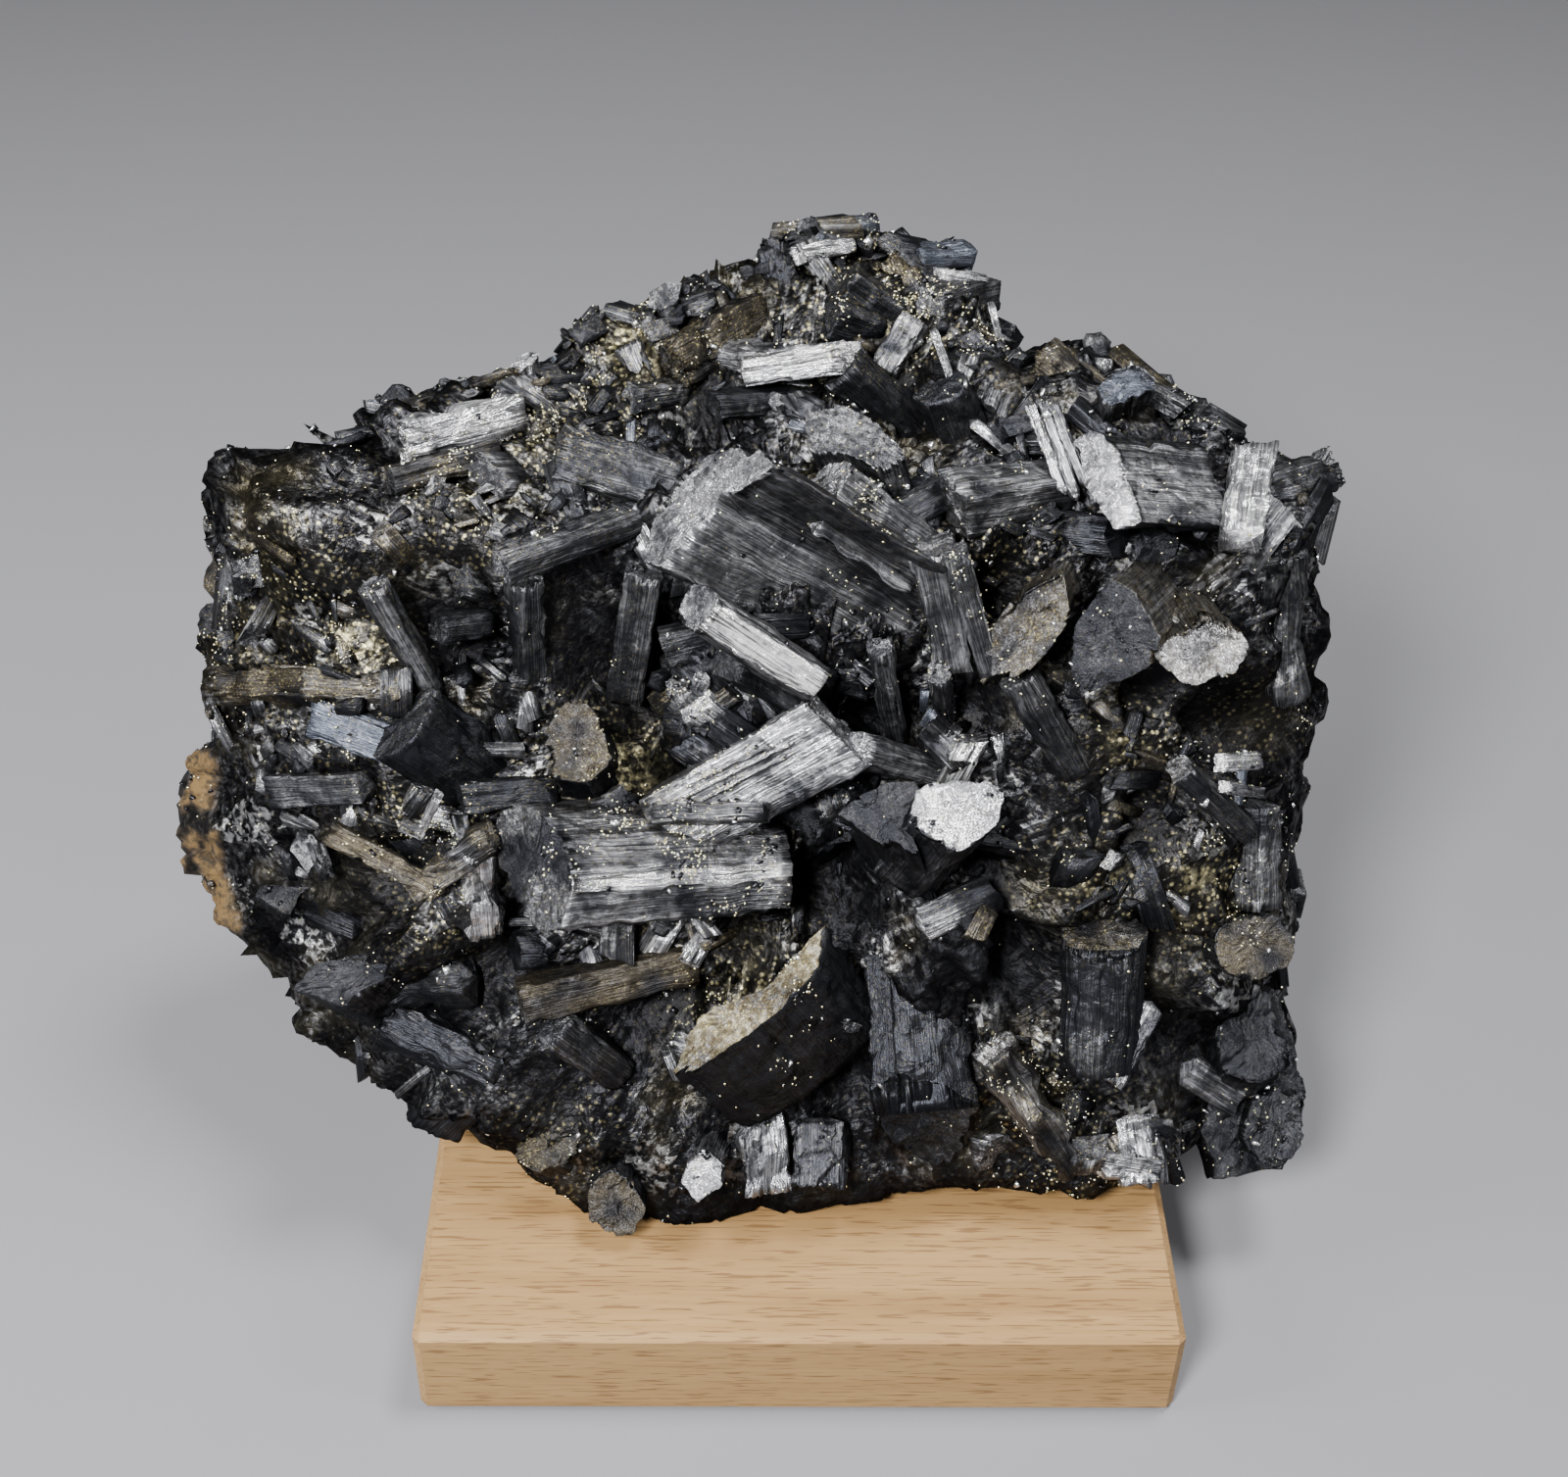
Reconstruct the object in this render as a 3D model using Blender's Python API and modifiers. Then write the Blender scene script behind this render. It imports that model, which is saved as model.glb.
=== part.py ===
"""An enargite specimen: one cluster of dark prismatic crystals, standing on a plain wooden block.

Metres, +Z up. The origin is the centre of the block's underside, +X is the specimen's right and
-Y is the face that looks at the viewer. The cluster grew as one piece, so it is one solid: a rough
stone body with flat-faced prisms fused to it. The block is a second solid.

Places on the cluster's face are read from the reference photograph, 1600 by 1507 pixels, and put on
the stone by sight: a pixel is a line from the eye, and a crystal's end lies where that line meets
the stone's face, standing proud of it by a stated height.
"""

import math
import random
from dataclasses import dataclass

import bmesh
import bpy
import numpy as np
from mathutils import Matrix, Vector

MM = 0.001

# The wooden block
BLOCK_WIDTH = 120 * MM
BLOCK_DEPTH = 120 * MM
BLOCK_HEIGHT = 19 * MM
BLOCK_EDGE = 1.2 * MM

# The stone body
REST_GAP = 0.3 * MM
STONE_FOOT = BLOCK_HEIGHT + REST_GAP
LOWEST_CRYSTAL = STONE_FOOT + 0.6 * MM
STONE_CENTRE = np.array((-2.0, 12.0, 75.0)) * MM
STONE_REACH = 200 * MM
EDGE_SHARPNESS = 40.0
LUMP_HEIGHT = 2.3 * MM
STONE_SUBDIVISIONS = 5
STONE_KEPT_FACES = 0.48

# The eye that saw the specimen, for reading places off the photograph
PHOTO_MIDDLE = (800.0, 753.5)
PHOTO_FOCAL = 2300.0
EYE = np.array((-10.4, -270.3, 310.7)) * MM
EYE_AZIMUTH = math.radians(-1.5)
EYE_ELEVATION = math.radians(39.28)
EYE_ROLL = math.radians(1.43)
SIGHT_SPAN = (240 * MM, 480 * MM)
SIGHT_STEP = 1.0 * MM

# Random crystals over the sides, back and top
SPARE_CRYSTALS = 84
SPARE_SEED = 41

# The stone's outline in the photograph, clockwise from the left shoulder, in pixels
OUTLINE = (
    (216, 585), (236, 500), (250, 474), (312, 460), (360, 440), (392, 414), (446, 412), (486, 388),
    (530, 388), (584, 354), (612, 328), (668, 310), (706, 296), (764, 282), (804, 256), (852, 238),
    (886, 230), (926, 242), (966, 268), (990, 298), (1018, 328), (1040, 356), (1088, 362), (1136, 388),
    (1188, 408), (1236, 436), (1292, 458), (1326, 476), (1350, 502), (1346, 548), (1335, 624),
    (1330, 700), (1322, 790), (1312, 870), (1306, 940), (1300, 1010), (1308, 1060), (1322, 1104),
    (1328, 1140), (1316, 1184), (1282, 1202), (1196, 1218), (1128, 1234), (1060, 1250), (960, 1248),
    (860, 1238), (760, 1238), (690, 1246), (640, 1254), (594, 1240), (552, 1216), (518, 1180),
    (474, 1152), (424, 1150), (376, 1122), (318, 1084), (272, 1042), (250, 996), (238, 950),
    (210, 888), (194, 840), (192, 800), (202, 772), (224, 752), (216, 700), (222, 640),
)

# The broken faces that bound the stone: name, outward direction, and a point on the face in mm
FACES = {
    "front": ((0.0, -0.92, 0.39), (0, -17, 70)),
    "top": ((0.0, -0.36, 0.93), (0, 30, 133)),
    "front_left": ((-0.60, -0.78, 0.20), (-76, -6, 70)),
    "front_right": ((0.70, -0.69, 0.20), (72, -9, 70)),
    "left": ((-0.99, 0.10, 0.05), (-100, 15, 75)),
    "right": ((0.99, 0.12, 0.02), (96, 15, 75)),
    "back": ((0.03, 0.99, 0.12), (0, 76, 90)),
    "back_left": ((-0.46, 0.88, 0.10), (-66, 44, 80)),
    "back_right": ((0.56, 0.82, 0.08), (64, 42, 80)),
    "foot": ((0.0, 0.0, -1.0), (0, 0, 16.5)),
    "under_front": ((0.10, -0.72, -0.69), (0, -38, 22)),
    "under_left": ((-0.50, -0.05, -0.87), (-52, 0, 17)),
    "under_right": ((0.42, -0.05, -0.91), (56, 0, 17)),
    "under_back": ((0.0, 0.62, -0.78), (0, 56, 17)),
}

# Hollows between the crystals: middle in pixels, radius in pixels, and depth in mm
HOLLOWS = (
    ((612, 650), 62, 15), ((668, 790), 34, 10), ((882, 905), 62, 17), ((1036, 1010), 55, 17),
    ((1212, 985), 40, 15), ((1220, 1085), 48, 15), ((664, 1045), 42, 16), ((862, 1100), 50, 13),
    ((510, 985), 48, 10), ((380, 925), 56, 13), ((430, 1065), 60, 10), ((1026, 596), 26, 12),
    ((1082, 650), 30, 9), ((1180, 845), 36, 14), ((905, 735), 52, 9), ((430, 640), 48, 8),
    ((930, 400), 34, 6), ((1010, 900), 40, 6), ((1290, 760), 40, 8),
)


@dataclass(frozen=True)
class Crystal:
    """One prism, read off the photograph.

    tip and tail are pixels; tip_rise and tail_rise say how far those ends stand proud of the
    stone's face, in mm; width is across the face that the viewer sees and depth is behind it.
    """

    name: str
    tip: tuple
    tail: tuple
    tip_rise: float
    tail_rise: float
    width: float
    depth: float
    sides: int = 4
    roll: float = 0.0
    slant: tuple = (0.0, 0.0)


CRYSTALS = (
    # Upper middle
    Crystal("white_bar_bed", (736, 664), (866, 742), 9, -6, 7, 13, 5, 10),
    Crystal("dark_ledge", (727, 412), (824, 402), 5, 3, 4, 6, 4, 20),
    # Summit
    Crystal("top_dark_prism", (860, 370), (930, 438), 8, -4, 6.6, 7, 4, 32),
    Crystal("top_dark_block", (962, 392), (986, 450), 8, -2, 9.5, 8, 6, 12),
    Crystal("top_grey_block", (688, 370), (762, 326), 5, 1, 8.5, 7, 4, 18),
    Crystal("top_small_block", (640, 352), (656, 388), 5, 0, 5.5, 5, 5, 10),
    Crystal("top_stub", (643, 405), (684, 400), 5, 0, 5.5, 5, 5, 30),
    Crystal("summit_prism", (824, 232), (884, 220), 4, 2, 4.4, 5, 6, 15),
    Crystal("summit_left", (790, 244), (797, 294), 4, 0, 6.2, 6, 5, 20),
    Crystal("summit_right", (940, 253), (992, 254), 4, 2, 4.2, 5, 4, 30),
    Crystal("summit_grey", (950, 313), (1004, 300), 4, 1, 6.4, 5, 4, 20),
    Crystal("summit_brown", (905, 262), (930, 300), 3, -1, 6, 6, 6, 40),
    # Right shoulder
    Crystal("bright_blades", (1066, 420), (1098, 496), 9, 6, 5.5, 5, 4, 20),
    Crystal("bright_facet", (1282, 464), (1270, 542), 10, 6, 6.6, 6, 4, 0, (0.2, 0.0)),
    Crystal("brown_blocks", (1062, 366), (1114, 404), 5, -3, 9.5, 8, 4, 25),
    Crystal("shoulder_knob", (1356, 480), (1298, 500), 4, 0, 7, 7, 6, 0),
    Crystal("shoulder_wedge", (975, 512), (1078, 496), 9, 3, 9.5, 8, 4, 34, (0.3, 0.0)),
    Crystal("plate_block", (952, 556), (974, 664), 9, 4, 6.5, 7, 4, 10),
    Crystal("plate", (976, 560), (1007, 668), 11, 9, 3.6, 7, 4, 0),
    Crystal("leaning_rod", (1042, 688), (1094, 776), 9, 4, 6.4, 5.6, 6, 10),
    Crystal("upright_rod", (896, 658), (916, 756), 12, -2, 4.2, 4.2, 6, 0),
    Crystal("upright_rod_small", (958, 688), (967, 742), 8, -4, 4.2, 3.8, 6, 20),
    Crystal("ribbed_stub", (874, 764), (956, 788), 11, 0, 6.2, 5.8, 6, 15),
    # Right side
    Crystal("middle_column", (1070, 904), (1092, 764), 5, 4, 16, 11, 5, 10),
    Crystal("speckled_wall", (1272, 690), (1284, 818), 0, -1, 11.5, 6, 4, -8),
    Crystal("edge_slab", (1206, 784), (1268, 842), 9, 5, 3.8, 5, 4, 15),
    Crystal("edge_prism", (1274, 924), (1278, 834), 4, 1, 9.8, 7, 6, 0),
    Crystal("leaning_lath", (1134, 1104), (1168, 1040), 11, 6, 4.6, 3.4, 4, 0),
    Crystal("right_rim_block", (1334, 560), (1322, 660), 3, 1, 7, 8, 5, 0),
    # Lower middle
    Crystal("striped_fan", (856, 742), (686, 838), 10, 6, 11.5, 9, 4, -14, (0.25, 0.0)),
    Crystal("low_great_cap", (780, 827), (682, 830), 16, 10, 3.2, 5, 4, 10),
    Crystal("gold_tablet_knob", (870, 1040), (826, 1034), 11, 4, 5, 5, 6, 0),
    Crystal("round_column", (957, 1190), (940, 926), 6, 3, 14.4, 13, 8, 0),
    Crystal("gold_root", (1012, 1074), (1108, 1200), 7, 6, 9.5, 8, 5, 20),
    Crystal("silver_lumps", (1168, 1208), (1160, 1156), 8, 3, 8.5, 7, 5, 15),
    Crystal("grey_fluted_block", (780, 1214), (778, 1138), 8, 4, 7.6, 6.5, 4, 12),
    Crystal("small_block", (836, 1213), (838, 1160), 7, 3, 8.6, 6.5, 4, -8),
    Crystal("rim_lath", (1010, 1242), (866, 1224), 3, 3, 6, 7, 5, 20),
    # Left side
    Crystal("shelf_slab", (530, 1022), (694, 984), 10, 2, 6.8, 6.4, 4, 24),
    Crystal("fluted_chip", (564, 1048), (622, 1090), 9, 3, 6.2, 6, 4, 10),
    Crystal("dark_facets", (462, 1056), (592, 1144), 3, 2, 12.5, 9, 4, 22),
    Crystal("dark_facets_left", (440, 1146), (524, 1066), 3, -2, 9, 8, 4, 30),
    Crystal("gold_lump", (560, 1170), (584, 1150), 5, -12, 9.5, 9.5, 6, 0),
    Crystal("lower_left_block", (300, 1060), (400, 1100), 2, 1, 8, 9, 5, 0),
    Crystal("bright_rough_block", (484, 866), (492, 936), 10, 4, 5.8, 6, 5, 20),
    Crystal("cross_blade", (338, 850), (436, 902), 11, 7, 3.6, 4, 4, 12),
    Crystal("cross_blade_gold", (498, 856), (430, 904), 11, 7, 4.8, 4, 4, -10),
    Crystal("left_fluted_block", (280, 806), (364, 802), 5, 3, 5.4, 6, 4, 12),
    Crystal("dark_barrel", (410, 738), (494, 804), 8, 0, 11.5, 9.5, 6, 14),
    Crystal("barrel_slab", (468, 813), (549, 805), 9, 4, 4.8, 5, 4, 10),
    Crystal("blue_block", (322, 728), (388, 752), 6, 2, 6.4, 6, 4, 20),
    Crystal("brown_ledge", (232, 700), (318, 698), 5, 3, 5.2, 8, 4, -15),
    Crystal("brown_ledge_right", (318, 702), (400, 707), 6, 3, 4.2, 7, 4, -15),
    Crystal("left_rod", (378, 596), (436, 694), 10, 2, 5.4, 5, 6, 8),
    Crystal("small_left_block", (444, 640), (482, 636), 6, 2, 4.4, 5, 4, 20),
    Crystal("pit_slab", (656, 584), (638, 700), 4, -3, 6.4, 4, 4, 6),
    Crystal("pit_slab_left", (535, 588), (538, 690), 5, 0, 5, 5, 4, -20),
    Crystal("eave_rod", (510, 576), (656, 522), 12, 3, 4.6, 5.2, 4, 42),
    Crystal("arched_slab", (566, 462), (676, 494), 8, 4, 9, 6, 4, -22),
    Crystal("upper_left_block", (410, 456), (510, 426), 7, 3, 8, 8, 4, 26),
    Crystal("upper_left_slab", (394, 490), (492, 463), 6, 3, 4.4, 5, 4, 10),
    Crystal("left_corner_mass", (256, 500), (340, 560), 3, 1, 13, 10, 5, 10),
    Crystal("left_edge_mass", (252, 860), (270, 980), 2, 2, 10, 10, 5, 0),
)


@dataclass(frozen=True)
class Fragment:
    """One large prism whose end face is read off the photograph corner by corner.

    face is the end face's outline in pixels. rise is how far its middle stands proud of the stone,
    in mm. turned is the way it faces: to the viewer's right, up, and towards the viewer. run is
    where the prism's other end lies from it, in pixels, and into how much deeper, in mm.
    """

    name: str
    face: tuple
    rise: float
    turned: tuple
    run: tuple
    into: float


FRAGMENTS = (
    Fragment(
        "great_slab",
        ((656, 572), (668, 530), (722, 463), (768, 452), (802, 480), (735, 506), (674, 580)),
        11, (-0.7, 0.35, 0.6), (222, 116), 15,
    ),
    Fragment(
        "great_slab_right",
        ((814, 520), (826, 488), (850, 468), (872, 474), (856, 504), (832, 548)),
        13, (-0.6, 0.45, 0.65), (98, 62), 9,
    ),
    Fragment(
        "rough_block",
        ((818, 418), (860, 412), (892, 426), (926, 470), (905, 486), (860, 464), (824, 460)),
        9, (-0.1, 0.45, 0.88), (22, 45), 9,
    ),
    Fragment(
        "white_bar",
        ((692, 624), (700, 602), (718, 594), (740, 619), (722, 650), (704, 647)),
        13, (-0.75, 0.1, 0.65), (120, 76), 4,
    ),
    Fragment(
        "top_bar",
        ((858, 345), (878, 347), (882, 362), (872, 379), (856, 383), (846, 364)),
        9, (0.6, 0.15, 0.78), (-104, 12), 3,
    ),
    Fragment(
        "ribbed_block",
        ((1098, 450), (1114, 440), (1138, 446), (1150, 490), (1168, 534), (1140, 542), (1108, 500)),
        11, (-0.55, 0.25, 0.8), (112, 0), 9,
    ),
    Fragment(
        "dark_cube",
        ((1092, 694), (1098, 640), (1132, 590), (1158, 604), (1184, 650), (1180, 676), (1104, 714)),
        18, (-0.35, -0.2, 0.92), (80, -58), 24,
    ),
    Fragment(
        "sugary_wedge",
        ((1176, 668), (1202, 642), (1226, 622), (1264, 642), (1278, 666), (1250, 692), (1212, 702)),
        17, (0.1, 0.25, 0.96), (-10, -44), 13,
    ),
    Fragment(
        "low_great",
        ((502, 850), (513, 816), (549, 824), (578, 862), (586, 896), (584, 915), (570, 953), (528, 942)),
        17, (-0.7, 0.12, 0.7), (236, -8), 17,
    ),
    Fragment(
        "silver_wedge",
        ((924, 838), (938, 802), (962, 791), (1000, 792), (1027, 803), (1020, 838), (1000, 858), (972, 871)),
        16, (0.15, 0.42, 0.9), (-40, 62), 14,
    ),
    Fragment(
        "silver_wedge_left",
        ((857, 832), (872, 812), (902, 800), (940, 797), (926, 838), (940, 874), (900, 862)),
        14, (-0.4, 0.25, 0.88), (28, 60), 15,
    ),
    Fragment(
        "gold_tablet",
        (
            (683, 1100), (698, 1062), (722, 1030), (785, 1006),
            (843, 944), (838, 985), (778, 1046), (715, 1090),
        ),
        14, (-0.42, 0.4, 0.82), (66, 80), 15,
    ),
    Fragment(
        "smooth_column",
        (
            (1080, 952), (1092, 938), (1126, 930), (1160, 936),
            (1173, 950), (1160, 974), (1126, 984), (1094, 975),
        ),
        4, (0.0, 0.8, 0.6), (-2, 140), 3,
    ),
    Fragment(
        "disc_head",
        (
            (1236, 960), (1248, 940), (1275, 932), (1305, 938),
            (1322, 958), (1312, 985), (1280, 1000), (1248, 990),
        ),
        10, (0.15, 0.12, 0.98), (-26, -10), 13,
    ),
    Fragment(
        "olive_slab",
        ((1004, 652), (1048, 602), (1086, 580), (1094, 620), (1080, 652), (1042, 690), (1004, 698)),
        11, (-0.35, 0.1, 0.93), (24, -34), 13,
    ),
    Fragment(
        "grey_pentagon",
        ((555, 762), (574, 726), (592, 710), (614, 730), (624, 772), (600, 798), (560, 792)),
        9, (0.0, 0.3, 0.95), (12, 30), 14,
    ),
    Fragment(
        "white_end",
        ((694, 1206), (704, 1182), (722, 1170), (741, 1190), (736, 1211), (713, 1227)),
        9, (-0.1, 0.2, 0.97), (12, -24), 11,
    ),
    Fragment(
        "foot_shell",
        ((600, 1206), (625, 1190), (648, 1204), (660, 1234), (645, 1258), (618, 1261), (600, 1244)),
        5, (0.05, 0.0, 1.0), (6, -24), 9,
    ),
    Fragment(
        "blue_head",
        ((1118, 396), (1136, 380), (1160, 378), (1182, 392), (1160, 408), (1128, 414)),
        7, (0.05, 0.75, 0.66), (4, 24), 12,
    ),
    Fragment(
        "corner_mass",
        ((1196, 1110), (1236, 1020), (1296, 1000), (1320, 1060), (1332, 1130), (1310, 1190), (1236, 1206)),
        4, (0.3, -0.05, 0.95), (-14, 4), 26,
    ),
    Fragment(
        "corner_stone",
        ((1240, 1050), (1262, 1024), (1292, 1012), (1312, 1050), (1318, 1092), (1280, 1110), (1246, 1096)),
        9, (0.25, 0.1, 0.96), (-6, 44), 13,
    ),
    Fragment(
        "corner_knob",
        ((1268, 1160), (1276, 1122), (1304, 1106), (1328, 1118), (1334, 1150), (1316, 1182), (1284, 1188)),
        8, (0.25, 0.0, 0.97), (-20, -6), 13,
    ),
    Fragment(
        "ledge_stone",
        ((300, 1010), (322, 984), (372, 972), (420, 958), (452, 966), (410, 990), (350, 1026)),
        7, (-0.2, 0.6, 0.77), (24, 40), 14,
    ),
)


def block_object():
    """The plain wooden block, its upper edges eased."""
    bpy.ops.mesh.primitive_cube_add(size=1, location=(0, 0, BLOCK_HEIGHT / 2))
    block = bpy.context.object
    block.name = "wood_block"
    block.dimensions = (BLOCK_WIDTH, BLOCK_DEPTH, BLOCK_HEIGHT)
    bpy.ops.object.transform_apply(location=False, rotation=False, scale=True)
    eased = block.modifiers.new("eased_edges", "BEVEL")
    eased.width = BLOCK_EDGE
    eased.segments = 1
    return block


def eye_axes():
    """The eye's forward, right and up directions."""
    forward = -np.array(
        (
            math.sin(EYE_AZIMUTH) * math.cos(EYE_ELEVATION),
            -math.cos(EYE_AZIMUTH) * math.cos(EYE_ELEVATION),
            math.sin(EYE_ELEVATION),
        )
    )
    level = np.cross(forward, (0, 0, 1))
    level /= np.linalg.norm(level)
    upright = np.cross(level, forward)
    right = level * math.cos(EYE_ROLL) + upright * math.sin(EYE_ROLL)
    up = upright * math.cos(EYE_ROLL) - level * math.sin(EYE_ROLL)
    return forward, right, up


FORWARD, RIGHT, UP = eye_axes()


def pixels_of(points):
    """Where points of space, one a row, fall in the photograph."""
    seen = points - EYE
    ahead = seen @ FORWARD
    across = PHOTO_MIDDLE[0] + PHOTO_FOCAL * (seen @ RIGHT) / ahead
    down = PHOTO_MIDDLE[1] - PHOTO_FOCAL * (seen @ UP) / ahead
    return np.stack([across, down], axis=-1)


def face_plane(name):
    """(outward unit normal, point in metres) of one of the stone's broken faces."""
    normal, point = FACES[name]
    normal = np.array(normal, float)
    return normal / np.linalg.norm(normal), np.array(point, float) * MM


def outline_reach(directions):
    """How far from the stone's centre each direction runs before it leaves the outline."""
    middle = pixels_of(STONE_CENTRE[None])[0]
    outline = np.array(OUTLINE, float) - middle
    bearings = np.arctan2(outline[:, 1], outline[:, 0])
    order = np.argsort(bearings)
    bearings, radii = bearings[order], np.hypot(outline[:, 0], outline[:, 1])[order]
    near = np.zeros(len(directions))
    far = np.full(len(directions), STONE_REACH)
    for _ in range(24):
        half = (near + far) / 2
        offset = pixels_of(STONE_CENTRE + directions * half[:, None]) - middle
        limit = np.interp(np.arctan2(offset[:, 1], offset[:, 0]), bearings, radii, period=2 * math.pi)
        inside = np.hypot(offset[:, 0], offset[:, 1]) < limit
        near = np.where(inside, half, near)
        far = np.where(inside, far, half)
    return near


def lumps(points):
    """A smooth unevenness from -1 to 1: waves of several lengths, crossing at odd angles."""
    chance = np.random.RandomState(7)
    height = np.zeros(len(points))
    for wave in (46 * MM, 33 * MM, 24 * MM, 18 * MM, 14 * MM, 11 * MM):
        for _ in range(3):
            heading = chance.normal(size=3)
            heading /= np.linalg.norm(heading)
            height += np.sin(points @ heading * 2 * math.pi / wave + chance.uniform(0, 6.28)) / 6
    return height


def stone_reach(directions):
    """How far the stone runs from its centre in each direction, before hollows are sunk in it.

    The reach is the soft least of the outline and the broken faces, with lumps added.
    """
    reaches = [outline_reach(directions)]
    for name in FACES:
        normal, point = face_plane(name)
        leaving = directions @ normal
        distance = (point - STONE_CENTRE) @ normal
        reaches.append(np.where(leaving > 1e-3, distance / np.maximum(leaving, 1e-3), STONE_REACH))
    inverse = sum(np.maximum(reach, 1e-3) ** -EDGE_SHARPNESS for reach in reaches)
    reach = inverse ** (-1 / EDGE_SHARPNESS)
    return reach + LUMP_HEIGHT * lumps(STONE_CENTRE + directions * reach[:, None])


def stone_surface(directions):
    """Points of the stone's surface in these directions: hollows sunk, and its foot cut flat."""
    reach = stone_reach(directions)
    spots = pixels_of(STONE_CENTRE + directions * reach[:, None])
    facing = np.clip(-(directions @ FORWARD) * 2.5, 0, 1)
    for (across, down), radius, depth in HOLLOWS:
        away = np.hypot(spots[:, 0] - across, spots[:, 1] - down) / radius
        reach = reach - depth * MM * facing * np.exp(-(away**4))
    points = STONE_CENTRE + directions * reach[:, None]
    points[:, 2] = np.maximum(points[:, 2], STONE_FOOT)
    return points


def on_face(pixel, rise):
    """Where the sight line of a pixel first meets the stone, stood proud by rise mm.

    A sight line that misses the stone gives its point that lies nearest to the surface.
    """
    across = (pixel[0] - PHOTO_MIDDLE[0]) / PHOTO_FOCAL
    down = (pixel[1] - PHOTO_MIDDLE[1]) / PHOTO_FOCAL
    sight = FORWARD + across * RIGHT - down * UP
    sight /= np.linalg.norm(sight)
    steps = np.arange(*SIGHT_SPAN, SIGHT_STEP)
    spoke = EYE + sight * steps[:, None] - STONE_CENTRE
    length = np.linalg.norm(spoke, axis=1)
    depth = length / stone_reach(spoke / length[:, None])
    hit = np.argmax(depth < 1) if (depth < 1).any() else np.argmin(depth)
    return EYE + sight * (steps[hit] - rise * MM)


def stone_object():
    """The stone body: a ball of facets drawn out to the stone's surface, thinned, its foot flat."""
    mesh = bpy.data.meshes.new("enargite_cluster")
    ball = bmesh.new()
    bmesh.ops.create_icosphere(ball, subdivisions=STONE_SUBDIVISIONS, radius=1)
    directions = np.array([vertex.co.normalized() for vertex in ball.verts])
    for vertex, point in zip(ball.verts, stone_surface(directions)):
        vertex.co = point
    ball.to_mesh(mesh)
    ball.free()
    stone = bpy.data.objects.new("enargite_cluster", mesh)
    bpy.context.scene.collection.objects.link(stone)
    fewer = stone.modifiers.new("fewer_facets", "DECIMATE")
    fewer.ratio = STONE_KEPT_FACES
    thinned = bpy.data.meshes.new_from_object(stone.evaluated_get(bpy.context.evaluated_depsgraph_get()))
    stone.modifiers.clear()
    bpy.context.scene.collection.objects.unlink(stone)
    stone.data = thinned
    for vertex in thinned.vertices:
        vertex.co.z = max(vertex.co.z, STONE_FOOT)
    return stone


def prism_mesh(name, start, end, side, width, depth, sides, slant, chance):
    """A prism with a polygon section from start to end, its section slightly uneven.

    side is the direction of the width; slant tips the end face, as slopes across width and depth.
    """
    axis = (end - start).normalized()
    side = (side - axis * side.dot(axis)).normalized()
    outward = axis.cross(side)
    length = (end - start).length
    prism = bmesh.new()
    bmesh.ops.create_cone(prism, cap_ends=True, segments=sides, radius1=0.5, radius2=0.5, depth=1)
    turn = math.pi / sides if sides == 4 else 0.0
    reach = math.sqrt(2) if sides == 4 else 1.08
    stretch = [chance.uniform(0.86, 1.08) for _ in range(sides)]
    for vertex in prism.verts:
        bearing = math.atan2(vertex.co.y, vertex.co.x) + turn
        corner = round((bearing - turn) / (2 * math.pi) * sides) % sides
        across = math.cos(bearing) * reach * stretch[corner] * width / 2
        behind = math.sin(bearing) * reach * stretch[corner] * depth / 2
        along = (vertex.co.z + 0.5) * length
        if vertex.co.z < 0:
            along += slant[0] * across + slant[1] * behind
        else:
            across *= 0.92
            behind *= 0.92
        vertex.co = start + axis * along + side * across + outward * behind
        vertex.co.z = max(vertex.co.z, LOWEST_CRYSTAL)
    bmesh.ops.recalc_face_normals(prism, faces=prism.faces)
    mesh = bpy.data.meshes.new(name)
    prism.to_mesh(mesh)
    prism.free()
    return mesh


def seen_crystal(crystal):
    """A crystal of the table as a prism: its broad face turned to the eye, then rolled."""
    tip = Vector(on_face(crystal.tip, crystal.tip_rise))
    tail = Vector(on_face(crystal.tail, crystal.tail_rise))
    axis = (tail - tip).normalized()
    side = axis.cross(Vector(EYE) - tip).normalized()
    side = Matrix.Rotation(math.radians(crystal.roll), 3, axis) @ side
    chance = random.Random(crystal.name)
    inward = Vector(FORWARD) * crystal.depth * MM * 0.38
    return prism_mesh(
        crystal.name, tip + inward, tail + inward + axis * 2 * MM, side,
        crystal.width * MM, crystal.depth * MM, crystal.sides, crystal.slant, chance,
    )


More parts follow.
